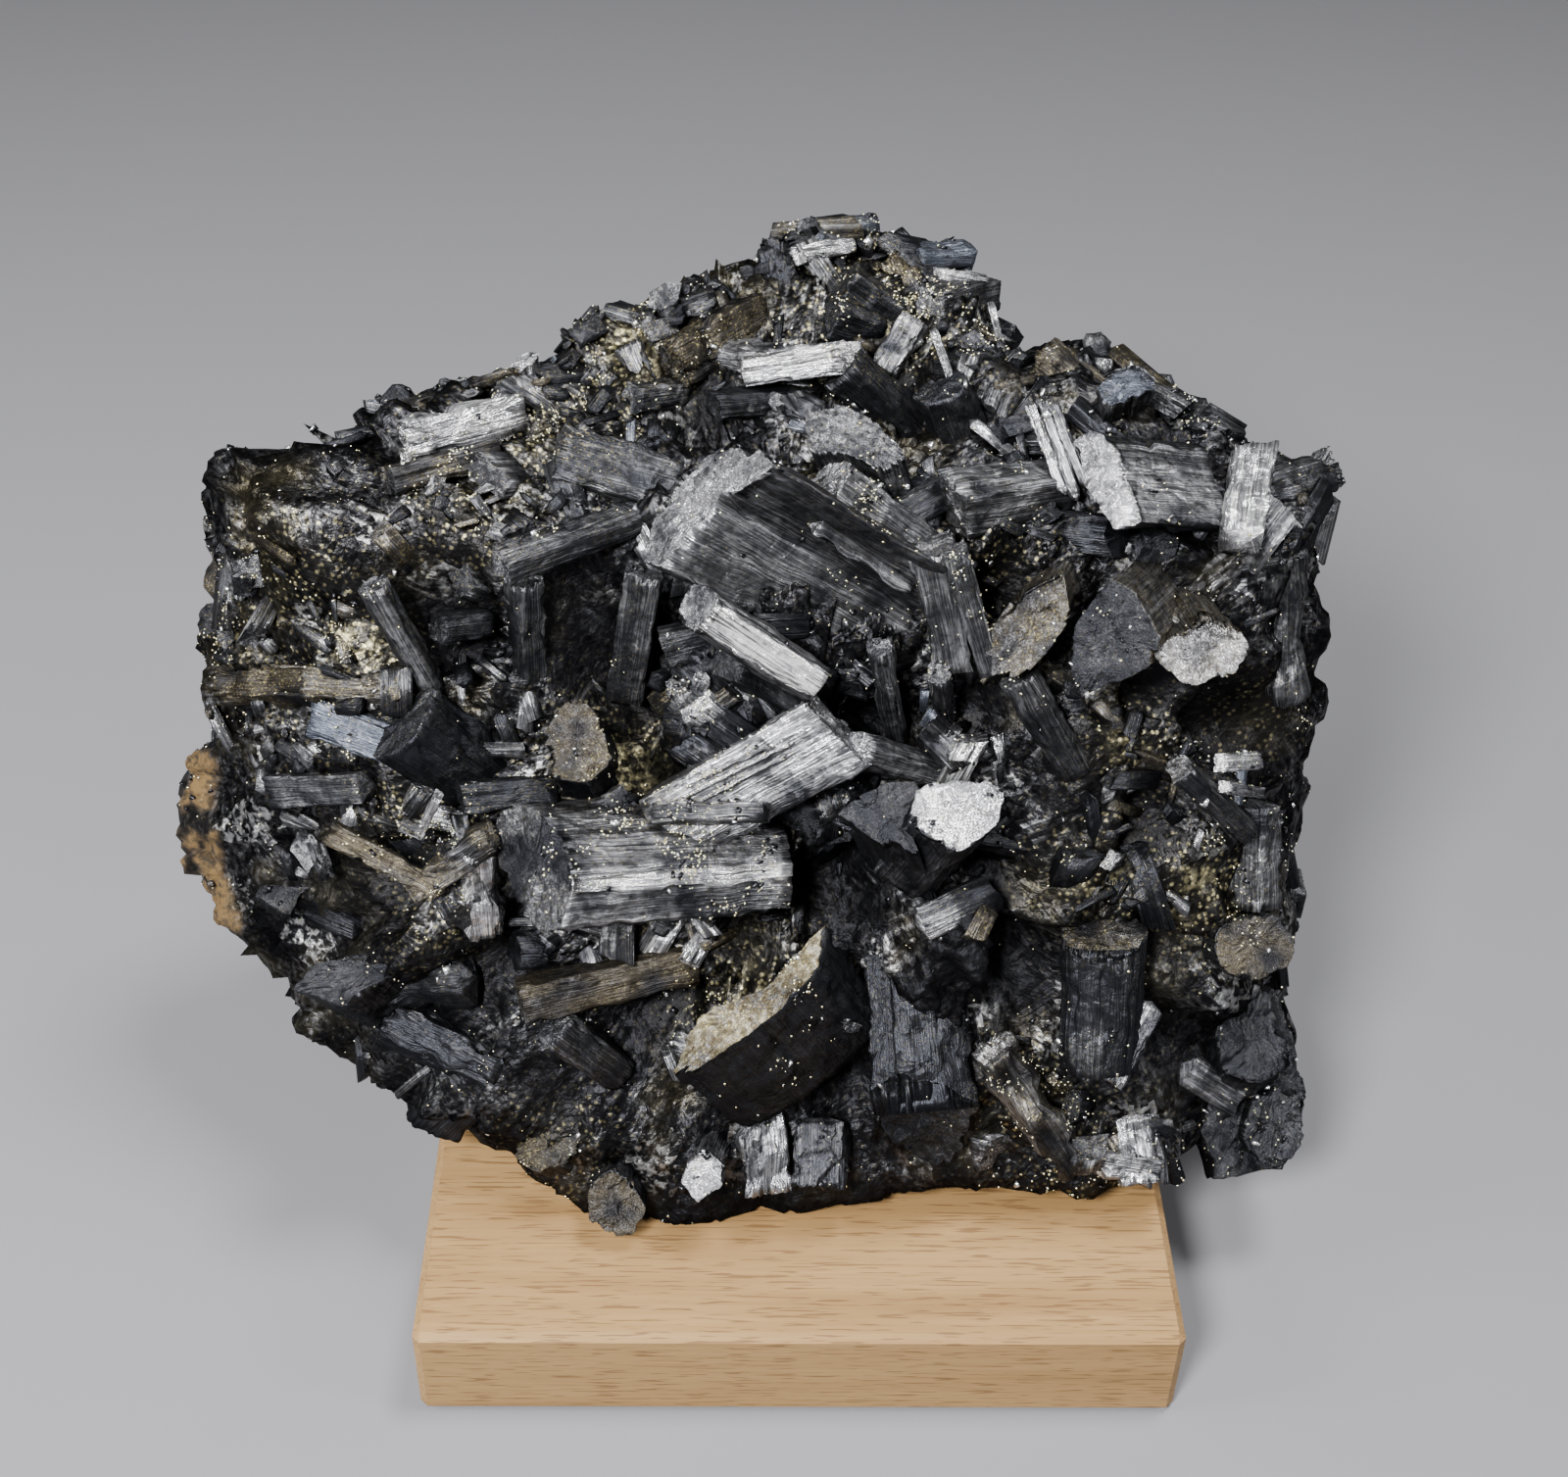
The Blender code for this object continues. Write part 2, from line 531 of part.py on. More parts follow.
def seen_fragment(fragment):
    """A prism of the table of end faces, each corner set where its sight line meets the face's plane."""
    middle = on_face(np.mean(fragment.face, axis=0), fragment.rise)
    normal = np.array(fragment.turned) @ np.stack([RIGHT, UP, -FORWARD])
    offsets = (np.array(fragment.face, float) - PHOTO_MIDDLE) / PHOTO_FOCAL
    sights = FORWARD + offsets[:, :1] * RIGHT - offsets[:, 1:] * UP
    corners = EYE + sights * ((middle - EYE) @ normal / (sights @ normal))[:, None]
    metres_a_pixel = (corners.mean(axis=0) - EYE) @ FORWARD / PHOTO_FOCAL
    run = (RIGHT * fragment.run[0] - UP * fragment.run[1]) * metres_a_pixel
    run = run + FORWARD * fragment.into * MM
    middle = corners.mean(axis=0)
    inner = middle + run + (corners - middle - run * ((corners - middle) @ run / (run @ run))[:, None]) * 0.92
    prism = bmesh.new()
    ends = []
    for ring in (corners, inner):
        ring[:, 2] = np.maximum(ring[:, 2], LOWEST_CRYSTAL)
        ends.append([prism.verts.new(corner) for corner in ring])
        prism.faces.new(ends[-1])
    for index, vertex in enumerate(ends[0]):
        after = (index + 1) % len(ends[0])
        prism.faces.new((vertex, ends[0][after], ends[1][after], ends[1][index]))
    bmesh.ops.triangulate(prism, faces=prism.faces)
    bmesh.ops.recalc_face_normals(prism, faces=prism.faces)
    mesh = bpy.data.meshes.new(fragment.name)
    prism.to_mesh(mesh)
    prism.free()
    return mesh


def spare_crystals():
    """Prisms over the unseen sides, back and top, set on a spiral of directions."""
    chance = random.Random(SPARE_SEED)
    meshes = []
    golden = math.pi * (3 - math.sqrt(5))
    for index in range(SPARE_CRYSTALS):
        height = 1 - 2 * (index + 0.5) / SPARE_CRYSTALS
        ring = math.sqrt(1 - height * height)
        heading = np.array((ring * math.cos(index * golden), ring * math.sin(index * golden), height))
        width, depth = chance.uniform(6, 13), chance.uniform(5, 9)
        length, lean = chance.uniform(14, 26), chance.uniform(0.8, 2.6)
        swing, rise = chance.uniform(0, 2 * math.pi), chance.uniform(3.0, 6.0)
        sides = chance.choice((4, 4, 5, 6))
        if heading @ -FORWARD > 0.45 or heading[2] < -0.55:
            continue
        root = Vector(stone_surface(heading[None])[0])
        out = Vector(heading)
        across = out.orthogonal().normalized()
        across = Matrix.Rotation(swing, 3, out) @ across
        axis = (out + across * lean).normalized()
        tip = root + out * rise * MM + across * length * MM * 0.3
        meshes.append(
            prism_mesh(
                f"spare_{index}", tip, tip - axis * length * MM, axis.cross(out),
                width * MM, depth * MM, sides, (chance.uniform(-0.3, 0.3), 0.0), chance,
            )
        )
    return meshes


def material(name, colour, roughness, metallic):
    """A plain finish."""
    made = bpy.data.materials.new(name)
    made.use_nodes = True
    shader = made.node_tree.nodes["Principled BSDF"]
    shader.inputs["Base Color"].default_value = (*colour, 1.0)
    shader.inputs["Roughness"].default_value = roughness
    shader.inputs["Metallic"].default_value = metallic
    return made


def main():
    """Builds the block and the cluster."""
    for old in list(bpy.data.objects):
        bpy.data.objects.remove(old)
    specimen = bpy.data.collections.new("enargite_specimen")
    growth = bpy.data.collections.new("crystals_to_fuse")
    for collection in (specimen, growth):
        bpy.context.scene.collection.children.link(collection)

    block = block_object()
    for holder in block.users_collection:
        holder.objects.unlink(block)
    specimen.objects.link(block)
    block.data.materials.append(material("pale_wood", (0.62, 0.45, 0.27), 0.55, 0.0))

    stone = stone_object()
    specimen.objects.link(stone)
    stone.data.materials.append(material("enargite", (0.07, 0.07, 0.075), 0.4, 0.8))
    meshes = [seen_crystal(crystal) for crystal in CRYSTALS] + spare_crystals()
    meshes += [seen_fragment(fragment) for fragment in FRAGMENTS]
    for mesh in meshes:
        prism = bpy.data.objects.new(mesh.name, mesh)
        prism.hide_render = True
        prism.display_type = "WIRE"
        growth.objects.link(prism)
    fused = stone.modifiers.new("fused_crystals", "BOOLEAN")
    fused.operation = "UNION"
    fused.operand_type = "COLLECTION"
    fused.collection = growth
    fused.solver = "EXACT"


main()
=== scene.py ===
"""The looks of an enargite specimen: dark striated crystals, pyrite grains and a plain wooden block.

The cluster is a rough body of stone with hollows sunk in it. Large crystals are set where the
photograph shows them, smaller ones are strewn over all its sides, and pale gold pyrite grains are
dusted over them. All of it stands in for the frame's solid cluster. The block keeps its solid.
Everything is in metres and in the frame's own axes, and rides on the one body that never moves.
"""

import logging
import math
import random
from dataclasses import dataclass, field
from enum import Enum
from typing import Sequence, Union

import bpy
import numpy as np
from mathutils import Matrix, Vector


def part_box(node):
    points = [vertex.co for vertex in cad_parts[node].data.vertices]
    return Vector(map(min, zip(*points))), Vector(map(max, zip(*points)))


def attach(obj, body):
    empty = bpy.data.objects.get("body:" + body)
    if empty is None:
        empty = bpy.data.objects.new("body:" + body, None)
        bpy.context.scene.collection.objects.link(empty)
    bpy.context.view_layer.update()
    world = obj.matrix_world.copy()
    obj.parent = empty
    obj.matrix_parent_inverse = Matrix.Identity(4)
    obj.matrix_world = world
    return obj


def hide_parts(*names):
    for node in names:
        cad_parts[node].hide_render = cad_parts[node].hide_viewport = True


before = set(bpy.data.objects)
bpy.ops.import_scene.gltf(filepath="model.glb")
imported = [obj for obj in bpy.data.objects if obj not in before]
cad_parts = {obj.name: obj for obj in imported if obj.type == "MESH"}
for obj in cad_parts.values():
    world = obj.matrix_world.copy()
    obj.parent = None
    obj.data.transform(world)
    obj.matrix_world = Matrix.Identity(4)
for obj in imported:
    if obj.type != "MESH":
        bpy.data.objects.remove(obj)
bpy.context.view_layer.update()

LOG = logging.getLogger("enargite")
MM = 0.001
BODY = "root"
CLUSTER = "enargite_cluster"
BLOCK = "wood_block"
SLOT = "enargite"

# A streak's width, as a share of its length down a crystal.
GRAIN_DRAW = 0.035
# A mm on the specimen's front, in the photograph's pixels.
PIXELS_A_MM = 6.2
# Every section has room for this many corners, and the spare ones aren't used.
MOST_CORNERS = 8
# The last ring inside a broken face, as a share of the face.
RIM = 0.985
# Waves round a section whose creases are its grooves.
GROOVE_CYCLES = (13, 22, 37)
# How far down a crystal a broken lath reaches, and how deep it is, as shares.
LATH_REACH = 0.45
LATH_DEPTH = 0.14
# Size of the dents in worn sides, and how much is worn off their edges, in metres.
DENT_SIZE = 0.0052
EDGE_WEAR = 0.0012
# How much gold settles on top of a crystal where pyrite is thick, and how much painted shade darkens one in
# a cave.
SETTLED_GOLD = 0.35
CAVE_SHADE = 0.92

Array = np.ndarray
Pixel = tuple[float, float]
Colour = tuple[float, float, float]
Way = tuple[float, float, float]
Spots = tuple[tuple[Pixel, float, float], ...]


class Look(Enum):
    """How one crystal's faces look: (brightness, gold dust, brown tarnish, blue tint). The dust and tarnish
    are weathering; the brightness is partly the faces' own tone and partly painted highlight and shade, and
    the brightest look paints white glints.
    """

    DARK = (0.08, 0.04, 0.00, 0.05)
    STRIATED = (0.26, 0.10, 0.00, 0.05)
    GREY = (0.45, 0.05, 0.00, 0.05)
    PALE = (0.70, 0.04, 0.00, 0.03)
    SILVER = (1.00, 0.02, 0.00, 0.00)
    BLUE = (0.24, 0.03, 0.00, 0.50)
    OLIVE = (0.18, 0.28, 0.50, 0.00)
    MOSS = (0.12, 0.08, 0.60, 0.00)
    SUGAR = (0.48, 0.14, 0.40, 0.00)
    GOLD = (0.36, 0.90, 0.30, 0.00)


@dataclass(frozen=True)
class Crystal:
    """One large crystal, read off the photograph.

    tip and tail are pixels; tip_rise and tail_rise say how far those ends stand proud of the
    stone, in mm; width is across the face that the viewer sees and depth is behind it, both in mm.
    The section has that many sides and is rolled by so many degrees. slant tilts the tip's face,
    across and behind. cap is the look of the tip's face, where it differs.
    """

    name: str
    tip: Pixel
    tail: Pixel
    tip_rise: float
    tail_rise: float
    width: float
    depth: float
    sides: int = 4
    roll: float = 0.0
    slant: tuple[float, float] = (0.0, 0.0)
    look: Look = Look.STRIATED
    cap: Union[Look, None] = None


@dataclass(frozen=True)
class Fragment:
    """One large crystal whose end face is read off the photograph corner by corner.

    face is the end face's outline in pixels. rise is how far its middle stands proud of the stone,
    in mm. turned is the way it faces: to the viewer's right, up, and towards the viewer. run is
    where the crystal's other end lies from it, in pixels, and into how much deeper, in mm. look is
    for the sides and cap for the end face. tones brightens or dims the side that grows from each
    edge of the face in turn. rough marks what is worn more like stone than like a clean crystal.
    """

    name: str
    face: tuple[Pixel, ...]
    rise: float
    turned: Way
    run: Pixel
    into: float
    look: Look
    cap: Look
    # Each side's tone is partly its own and partly painted highlight and shade, where it caught or missed
    # the light.
    tones: tuple[float, ...] = (1.0,) * MOST_CORNERS
    rough: bool = False


FRAGMENTS = (
    Fragment(
        "great_slab",
        ((656, 572), (668, 530), (722, 463), (768, 452), (802, 480), (735, 506), (674, 580)),
        11, (-0.70, 0.35, 0.60), (222, 116), 15, Look.STRIATED, Look.GREY,
        (0.5, 0.5, 0.6, 0.6, 0.7, 1.6, 0.5),
    ),
    Fragment(
        "great_slab_right", ((814, 520), (826, 488), (850, 468), (872, 474), (856, 504), (832, 548)),
        13, (-0.60, 0.45, 0.65), (98, 62), 9, Look.GREY, Look.GREY, (0.5, 0.5, 0.8, 0.9, 1.2, 0.5),
    ),
    Fragment(
        "rough_block",
        ((818, 418), (860, 412), (892, 426), (926, 470), (905, 486), (860, 464), (824, 460)),
        9, (-0.10, 0.45, 0.88), (22, 45), 9, Look.GREY, Look.STRIATED,
    ),
    Fragment(
        "white_bar", ((692, 624), (700, 602), (718, 594), (740, 619), (722, 650), (704, 647)),
        13, (-0.75, 0.10, 0.65), (120, 76), 4, Look.SILVER, Look.GREY, (0.2, 0.25, 0.3, 1.6, 0.2, 0.2),
    ),
    Fragment(
        "top_bar", ((858, 345), (878, 347), (882, 362), (872, 379), (856, 383), (846, 364)),
        9, (0.60, 0.15, 0.78), (-104, 12), 3, Look.SILVER, Look.SILVER, (1.4, 0.6, 0.6, 0.8, 1.2, 1.5),
    ),
    Fragment(
        "ribbed_block",
        ((1098, 450), (1114, 440), (1138, 446), (1150, 490), (1168, 534), (1140, 542), (1108, 500)),
        11, (-0.55, 0.25, 0.80), (112, 0), 9, Look.STRIATED, Look.PALE,
        (0.5, 0.6, 1.2, 1.3, 0.6, 0.5, 0.5),
    ),
    Fragment(
        "dark_cube",
        ((1092, 694), (1098, 640), (1132, 590), (1158, 604), (1184, 650), (1180, 676), (1104, 714)),
        18, (-0.35, -0.20, 0.92), (80, -58), 24, Look.OLIVE, Look.DARK,
        (0.6, 0.8, 1.6, 1.4, 0.8, 0.6, 0.6),
    ),
    Fragment(
        "sugary_wedge",
        ((1176, 668), (1202, 642), (1226, 622), (1264, 642), (1278, 666), (1250, 692), (1212, 702)),
        17, (0.10, 0.25, 0.96), (-10, -44), 13, Look.OLIVE, Look.SUGAR,
    ),
    Fragment(
        "low_great",
        ((502, 850), (513, 816), (549, 824), (578, 862), (586, 896), (584, 915), (570, 953), (528, 942)),
        17, (-0.70, 0.12, 0.70), (236, -8), 17, Look.GREY, Look.STRIATED,
        (0.5, 0.6, 0.8, 1.1, 4.5, 1.0, 0.5, 0.5),
    ),
    Fragment(
        "silver_wedge",
        ((924, 838), (938, 802), (962, 791), (1000, 792), (1027, 803), (1020, 838), (1000, 858), (972, 871)),
        16, (0.15, 0.42, 0.90), (-40, 62), 14, Look.DARK, Look.SILVER,
    ),
    Fragment(
        "silver_wedge_left",
        ((857, 832), (872, 812), (902, 800), (940, 797), (926, 838), (940, 874), (900, 862)),
        14, (-0.40, 0.25, 0.88), (28, 60), 15, Look.DARK, Look.DARK,
    ),
    Fragment(
        "gold_tablet",
        ((683, 1100), (698, 1062), (722, 1030), (785, 1006), (843, 944), (838, 985), (778, 1046),
         (715, 1090)),
        14, (-0.42, 0.40, 0.82), (66, 80), 15, Look.DARK, Look.GOLD, (0.6,) * 8,
    ),
    Fragment(
        "smooth_column",
        ((1080, 952), (1092, 938), (1126, 930), (1160, 936), (1173, 950), (1160, 974), (1126, 984),
         (1094, 975)),
        4, (0.0, 0.80, 0.60), (-2, 140), 3, Look.DARK, Look.OLIVE,
        (0.5, 0.5, 0.5, 0.5, 0.6, 0.8, 1.4, 0.7),
    ),
    Fragment(
        "round_column",
        ((888, 1112), (900, 1150), (928, 1180), (957, 1190), (985, 1172), (999, 1128), (964, 1104),
         (915, 1098)),
        7, (0.0, -0.55, 0.83), (-14, -176), 3, Look.DARK, Look.DARK, (0.2,) * 8, rough=True,
    ),
    Fragment(
        "disc_head",
        ((1236, 960), (1248, 940), (1275, 932), (1305, 938), (1322, 958), (1312, 985), (1280, 1000),
         (1248, 990)),
        10, (0.15, 0.12, 0.98), (-26, -10), 13, Look.DARK, Look.MOSS, rough=True,
    ),
    Fragment(
        "olive_slab",
        ((1004, 652), (1048, 602), (1086, 580), (1094, 620), (1080, 652), (1042, 690), (1004, 698)),
        11, (-0.35, 0.10, 0.93), (24, -34), 13, Look.OLIVE, Look.OLIVE, rough=True,
    ),
    Fragment(
        "grey_pentagon",
        ((555, 762), (574, 726), (592, 710), (614, 730), (624, 772), (600, 798), (560, 792)),
        9, (0.0, 0.30, 0.95), (12, 30), 14, Look.DARK, Look.MOSS, rough=True,
    ),
    Fragment(
        "white_end", ((694, 1206), (704, 1182), (722, 1170), (741, 1190), (736, 1211), (713, 1227)),
        9, (-0.10, 0.20, 0.97), (12, -24), 11, Look.GREY, Look.SILVER,
    ),
    Fragment(
        "foot_shell",
        ((600, 1206), (625, 1190), (648, 1204), (660, 1234), (645, 1258), (618, 1261), (600, 1244)),
        5, (0.05, 0.0, 1.0), (6, -24), 9, Look.DARK, Look.MOSS, rough=True,
    ),
    Fragment(
        "blue_head", ((1118, 396), (1136, 380), (1160, 378), (1182, 392), (1160, 408), (1128, 414)),
        7, (0.05, 0.75, 0.66), (4, 24), 12, Look.STRIATED, Look.BLUE,
    ),
    Fragment(
        "corner_mass",
        ((1196, 1110), (1236, 1020), (1296, 1000), (1320, 1060), (1332, 1130), (1310, 1190), (1236, 1206)),
        4, (0.30, -0.05, 0.95), (-14, 4), 26, Look.DARK, Look.DARK, rough=True,
    ),
    Fragment(
        "corner_stone",
        ((1240, 1050), (1262, 1024), (1292, 1012), (1312, 1050), (1318, 1092), (1280, 1110), (1246, 1096)),
        9, (0.25, 0.10, 0.96), (-6, 44), 13, Look.DARK, Look.DARK, rough=True,
    ),
    Fragment(
        "corner_knob",
        ((1268, 1160), (1276, 1122), (1304, 1106), (1328, 1118), (1334, 1150), (1316, 1182), (1284, 1188)),
        8, (0.25, 0.0, 0.97), (-20, -6), 13, Look.DARK, Look.DARK, rough=True,
    ),
    Fragment(
        "ledge_stone",
        ((300, 1010), (322, 984), (372, 972), (420, 958), (452, 966), (410, 990), (350, 1026)),
        7, (-0.20, 0.60, 0.77), (24, 40), 14, Look.DARK, Look.DARK, rough=True,
    ),
)


# Bars and blades that stand clear, whose ends are read but whose end faces are narrow.
GREAT_CRYSTALS = (
    Crystal("white_bar_bed", (736, 664), (866, 742), 9, -6, 7, 13, 5, 10, look=Look.DARK),
    Crystal("blade_one", (1055, 416), (1082, 486), 10, 6, 1.7, 4, 4, 5, look=Look.SILVER),
    Crystal("blade_two", (1066, 412), (1094, 492), 11, 7, 1.6, 4, 4, -6, look=Look.SILVER),
    Crystal("blade_three", (1078, 414), (1104, 478), 11, 7, 1.6, 4, 4, 4, look=Look.GREY),
    Crystal("striped_fan", (856, 742), (686, 838), 10, 6, 13.0, 9, 4, -14, (0.25, 0.0), Look.GREY),
    Crystal("dark_barrel", (408, 736), (500, 800), 9, 0, 13, 10, 6, 14, look=Look.DARK),
)

# Weathered lumps and ledges, more stone than crystal.
LUMPS = (
    Crystal("gold_root", (1012, 1070), (1092, 1184), 9, 6, 7.5, 8, 5, 10, look=Look.SUGAR),
    Crystal("silver_lump", (1180, 1196), (1100, 1184), 7, 4, 5.5, 6, 5, 10, look=Look.GREY),
    Crystal("foot_lump", (560, 1176), (610, 1196), 4, -6, 9, 9, 6, 0, look=Look.MOSS),
    Crystal("wall_lump", (1318, 560), (1316, 700), 2, 2, 7, 6, 5, 0, look=Look.STRIATED),
    Crystal("cave_shelf", (396, 1044), (500, 1092), 4, 1, 9, 8, 5, 30, look=Look.DARK),
    Crystal("cave_arch", (350, 1010), (468, 1000), 6, 1, 8, 8, 5, 12, look=Look.DARK),
    Crystal("bar_root", (800, 372), (752, 366), 7, 3, 6, 6, 5, 0, look=Look.PALE),
    Crystal("summit_left", (790, 244), (797, 294), 4, 0, 6.2, 6, 5, 20, look=Look.DARK),
    Crystal("grey_fluted_block", (780, 1214), (778, 1138), 8, 4, 7.6, 6.5, 4, 12, look=Look.GREY),
    Crystal("small_block", (836, 1213), (838, 1160), 7, 3, 8.6, 6.5, 4, -8, look=Look.DARK),
    Crystal("top_grey_block", (688, 370), (762, 326), 5, 1, 8.5, 7, 4, 18, look=Look.OLIVE),
    Crystal("summit_brown", (905, 262), (930, 300), 3, -1, 6, 6, 6, 40, look=Look.OLIVE),
    Crystal("shoulder_knob", (1356, 480), (1298, 500), 4, 0, 7, 7, 6, 0),
    Crystal("gold_tablet_knob", (870, 1040), (826, 1034), 11, 4, 5, 5, 6, 0),
    Crystal("silver_lumps", (1168, 1208), (1160, 1156), 8, 3, 8.5, 7, 5, 15, look=Look.GREY),
    Crystal("gold_lump", (560, 1170), (584, 1150), 5, -12, 9.5, 9.5, 6, 0, look=Look.MOSS),
    Crystal("bright_rough_block", (484, 866), (492, 936), 10, 4, 5.8, 6, 5, 20, look=Look.SILVER),
    Crystal("cross_blade_gold", (498, 856), (430, 904), 11, 7, 4.8, 4, 4, -10, look=Look.OLIVE),
    Crystal("brown_ledge", (232, 700), (318, 698), 5, 3, 5.2, 8, 4, -15, look=Look.OLIVE),
    Crystal("brown_ledge_right", (318, 702), (400, 707), 6, 3, 4.2, 7, 4, -15, look=Look.OLIVE),
    Crystal("upper_left_block", (410, 456), (510, 426), 7, 3, 8, 8, 4, 26, look=Look.SILVER),
)

# Smaller crystals, and bright slivers whose white look paints glints where they catch the light.
LESSER_CRYSTALS = (
    Crystal("dark_ledge", (727, 412), (824, 402), 5, 3, 4, 6, 4, 20, look=Look.DARK),
    Crystal("top_dark_prism", (860, 370), (930, 438), 8, -4, 6.6, 7, 4, 32, look=Look.DARK),
    Crystal("top_dark_block", (962, 392), (986, 450), 8, -2, 9.5, 8, 6, 12, look=Look.DARK),
    Crystal("top_small_block", (640, 352), (656, 388), 5, 0, 5.5, 5, 5, 10),
    Crystal("top_stub", (643, 405), (684, 400), 5, 0, 5.5, 5, 5, 30),
    Crystal("summit_prism", (826, 238), (880, 228), 4, 2, 4.4, 5, 6, 15, look=Look.BLUE),
    Crystal("summit_right", (934, 262), (978, 258), 4, 2, 4.2, 5, 4, 30, look=Look.BLUE),
    Crystal("summit_grey", (950, 313), (1004, 300), 4, 1, 6.4, 5, 4, 20, look=Look.STRIATED),
    Crystal("bright_facet", (1282, 464), (1270, 542), 10, 6, 6.6, 6, 4, 0, (0.2, 0.0), Look.SILVER),
    Crystal("brown_blocks", (1062, 366), (1114, 404), 5, -3, 9.5, 8, 4, 25, look=Look.OLIVE),
    Crystal("shoulder_wedge", (975, 512), (1078, 496), 9, 3, 8, 8, 4, 34, (0.3, 0.0), Look.STRIATED),
    Crystal("plate_block", (952, 556), (974, 664), 9, 4, 6.5, 7, 4, 10),
    Crystal("plate", (976, 560), (1007, 668), 11, 9, 3.6, 7, 4, 0, look=Look.GREY),
    Crystal("leaning_rod", (1042, 688), (1094, 776), 9, 4, 6.4, 5.6, 6, 10),
    Crystal("upright_rod", (896, 658), (916, 756), 12, -2, 4.2, 4.2, 6, 0),
    Crystal("upright_rod_small", (958, 688), (967, 742), 8, -4, 4.2, 3.8, 6, 20),
    Crystal("ribbed_stub", (874, 764), (956, 788), 11, 0, 6.2, 5.8, 6, 15, look=Look.GREY),
    Crystal("edge_slab", (1206, 784), (1268, 842), 9, 5, 3.8, 5, 4, 15),
    Crystal("edge_prism", (1274, 924), (1278, 834), 4, 1, 9.8, 7, 6, 0),
    Crystal("leaning_lath", (1134, 1104), (1168, 1040), 11, 6, 4.6, 3.4, 4, 0, look=Look.GREY),
    Crystal("low_great_cap", (780, 827), (682, 830), 16, 10, 3.2, 5, 4, 10, look=Look.GREY),
    Crystal("shelf_slab", (530, 1022), (694, 984), 10, 2, 6.8, 6.4, 4, 24, look=Look.MOSS),
    Crystal("fluted_chip", (564, 1048), (622, 1090), 9, 3, 6.2, 6, 4, 10, look=Look.STRIATED),
    Crystal("dark_facets_left", (440, 1146), (524, 1066), 3, -2, 9, 8, 4, 30, (0.3, 0.0), Look.DARK),
    Crystal("cross_blade", (338, 850), (436, 902), 11, 7, 3.6, 4, 4, 12, look=Look.MOSS),
    Crystal("left_fluted_block", (280, 806), (364, 802), 5, 3, 5.4, 6, 4, 12),
    Crystal("barrel_slab", (468, 813), (549, 805), 9, 4, 4.8, 5, 4, 10, look=Look.DARK),
    Crystal("blue_block", (322, 728), (388, 752), 6, 2, 6.4, 6, 4, 20, look=Look.BLUE),
    Crystal("left_rod", (378, 596), (436, 694), 10, 2, 5.4, 5, 6, 8),
    Crystal("small_left_block", (444, 640), (482, 636), 6, 2, 4.4, 5, 4, 20, look=Look.DARK),
    Crystal("pit_slab", (656, 584), (638, 700), 4, -3, 6.4, 4, 4, 6),
    Crystal("pit_slab_left", (535, 588), (538, 690), 5, 0, 5, 5, 4, -20),
    Crystal("eave_rod", (510, 576), (656, 522), 12, 3, 4.6, 5.2, 4, 42),
    Crystal("arched_slab", (566, 462), (676, 494), 8, 4, 9, 6, 4, -22),
    Crystal("fan_streak_one", (806, 758), (712, 806), 12.3, 8.4, 0.8, 1.4, look=Look.SILVER),
    Crystal("fan_streak_two", (800, 772), (728, 810), 12.3, 8.6, 0.7, 1.4, look=Look.SILVER),
    Crystal("fan_streak_three", (782, 762), (704, 800), 12.3, 8.4, 0.7, 1.4, look=Look.SILVER),
    Crystal("summit_slab", (864, 284), (905, 312), 5, 1, 6, 6, 4, 20, look=Look.DARK),
    Crystal("olive_rod", (936, 324), (910, 366), 6, 1, 5, 5, 4, 15),
    Crystal("summit_back", (905, 246), (936, 276), 4, 0, 6, 6, 4, 30, look=Look.DARK),
    Crystal("summit_low", (846, 318), (884, 330), 5, 1, 6, 6, 4, 25, look=Look.DARK),
    Crystal("white_sliver", (446, 812), (432, 842), 11, 8, 1.6, 2.5, look=Look.SILVER),
    Crystal("white_chip", (1246, 778), (1276, 776), 12, 10, 3.0, 2.5, look=Look.SILVER),
    Crystal("white_chip_low", (1250, 803), (1280, 808), 11, 9, 1.8, 2.0, look=Look.SILVER),
    Crystal("summit_glint", (815, 258), (858, 250), 6, 4, 3.2, 4, look=Look.SILVER),
    Crystal("summit_glint_right", (955, 278), (992, 284), 5, 3, 2.6, 4, look=Look.SILVER),
    Crystal("blade_glint", (955, 340), (966, 372), 8, 5, 1.5, 3, look=Look.SILVER),
    Crystal("blade_glint_right", (1012, 312), (1022, 352), 6, 3, 1.6, 3, look=Look.SILVER),
    Crystal("upper_left_slab", (394, 490), (492, 463), 6, 3, 4.4, 5, 4, 10, look=Look.OLIVE),
)


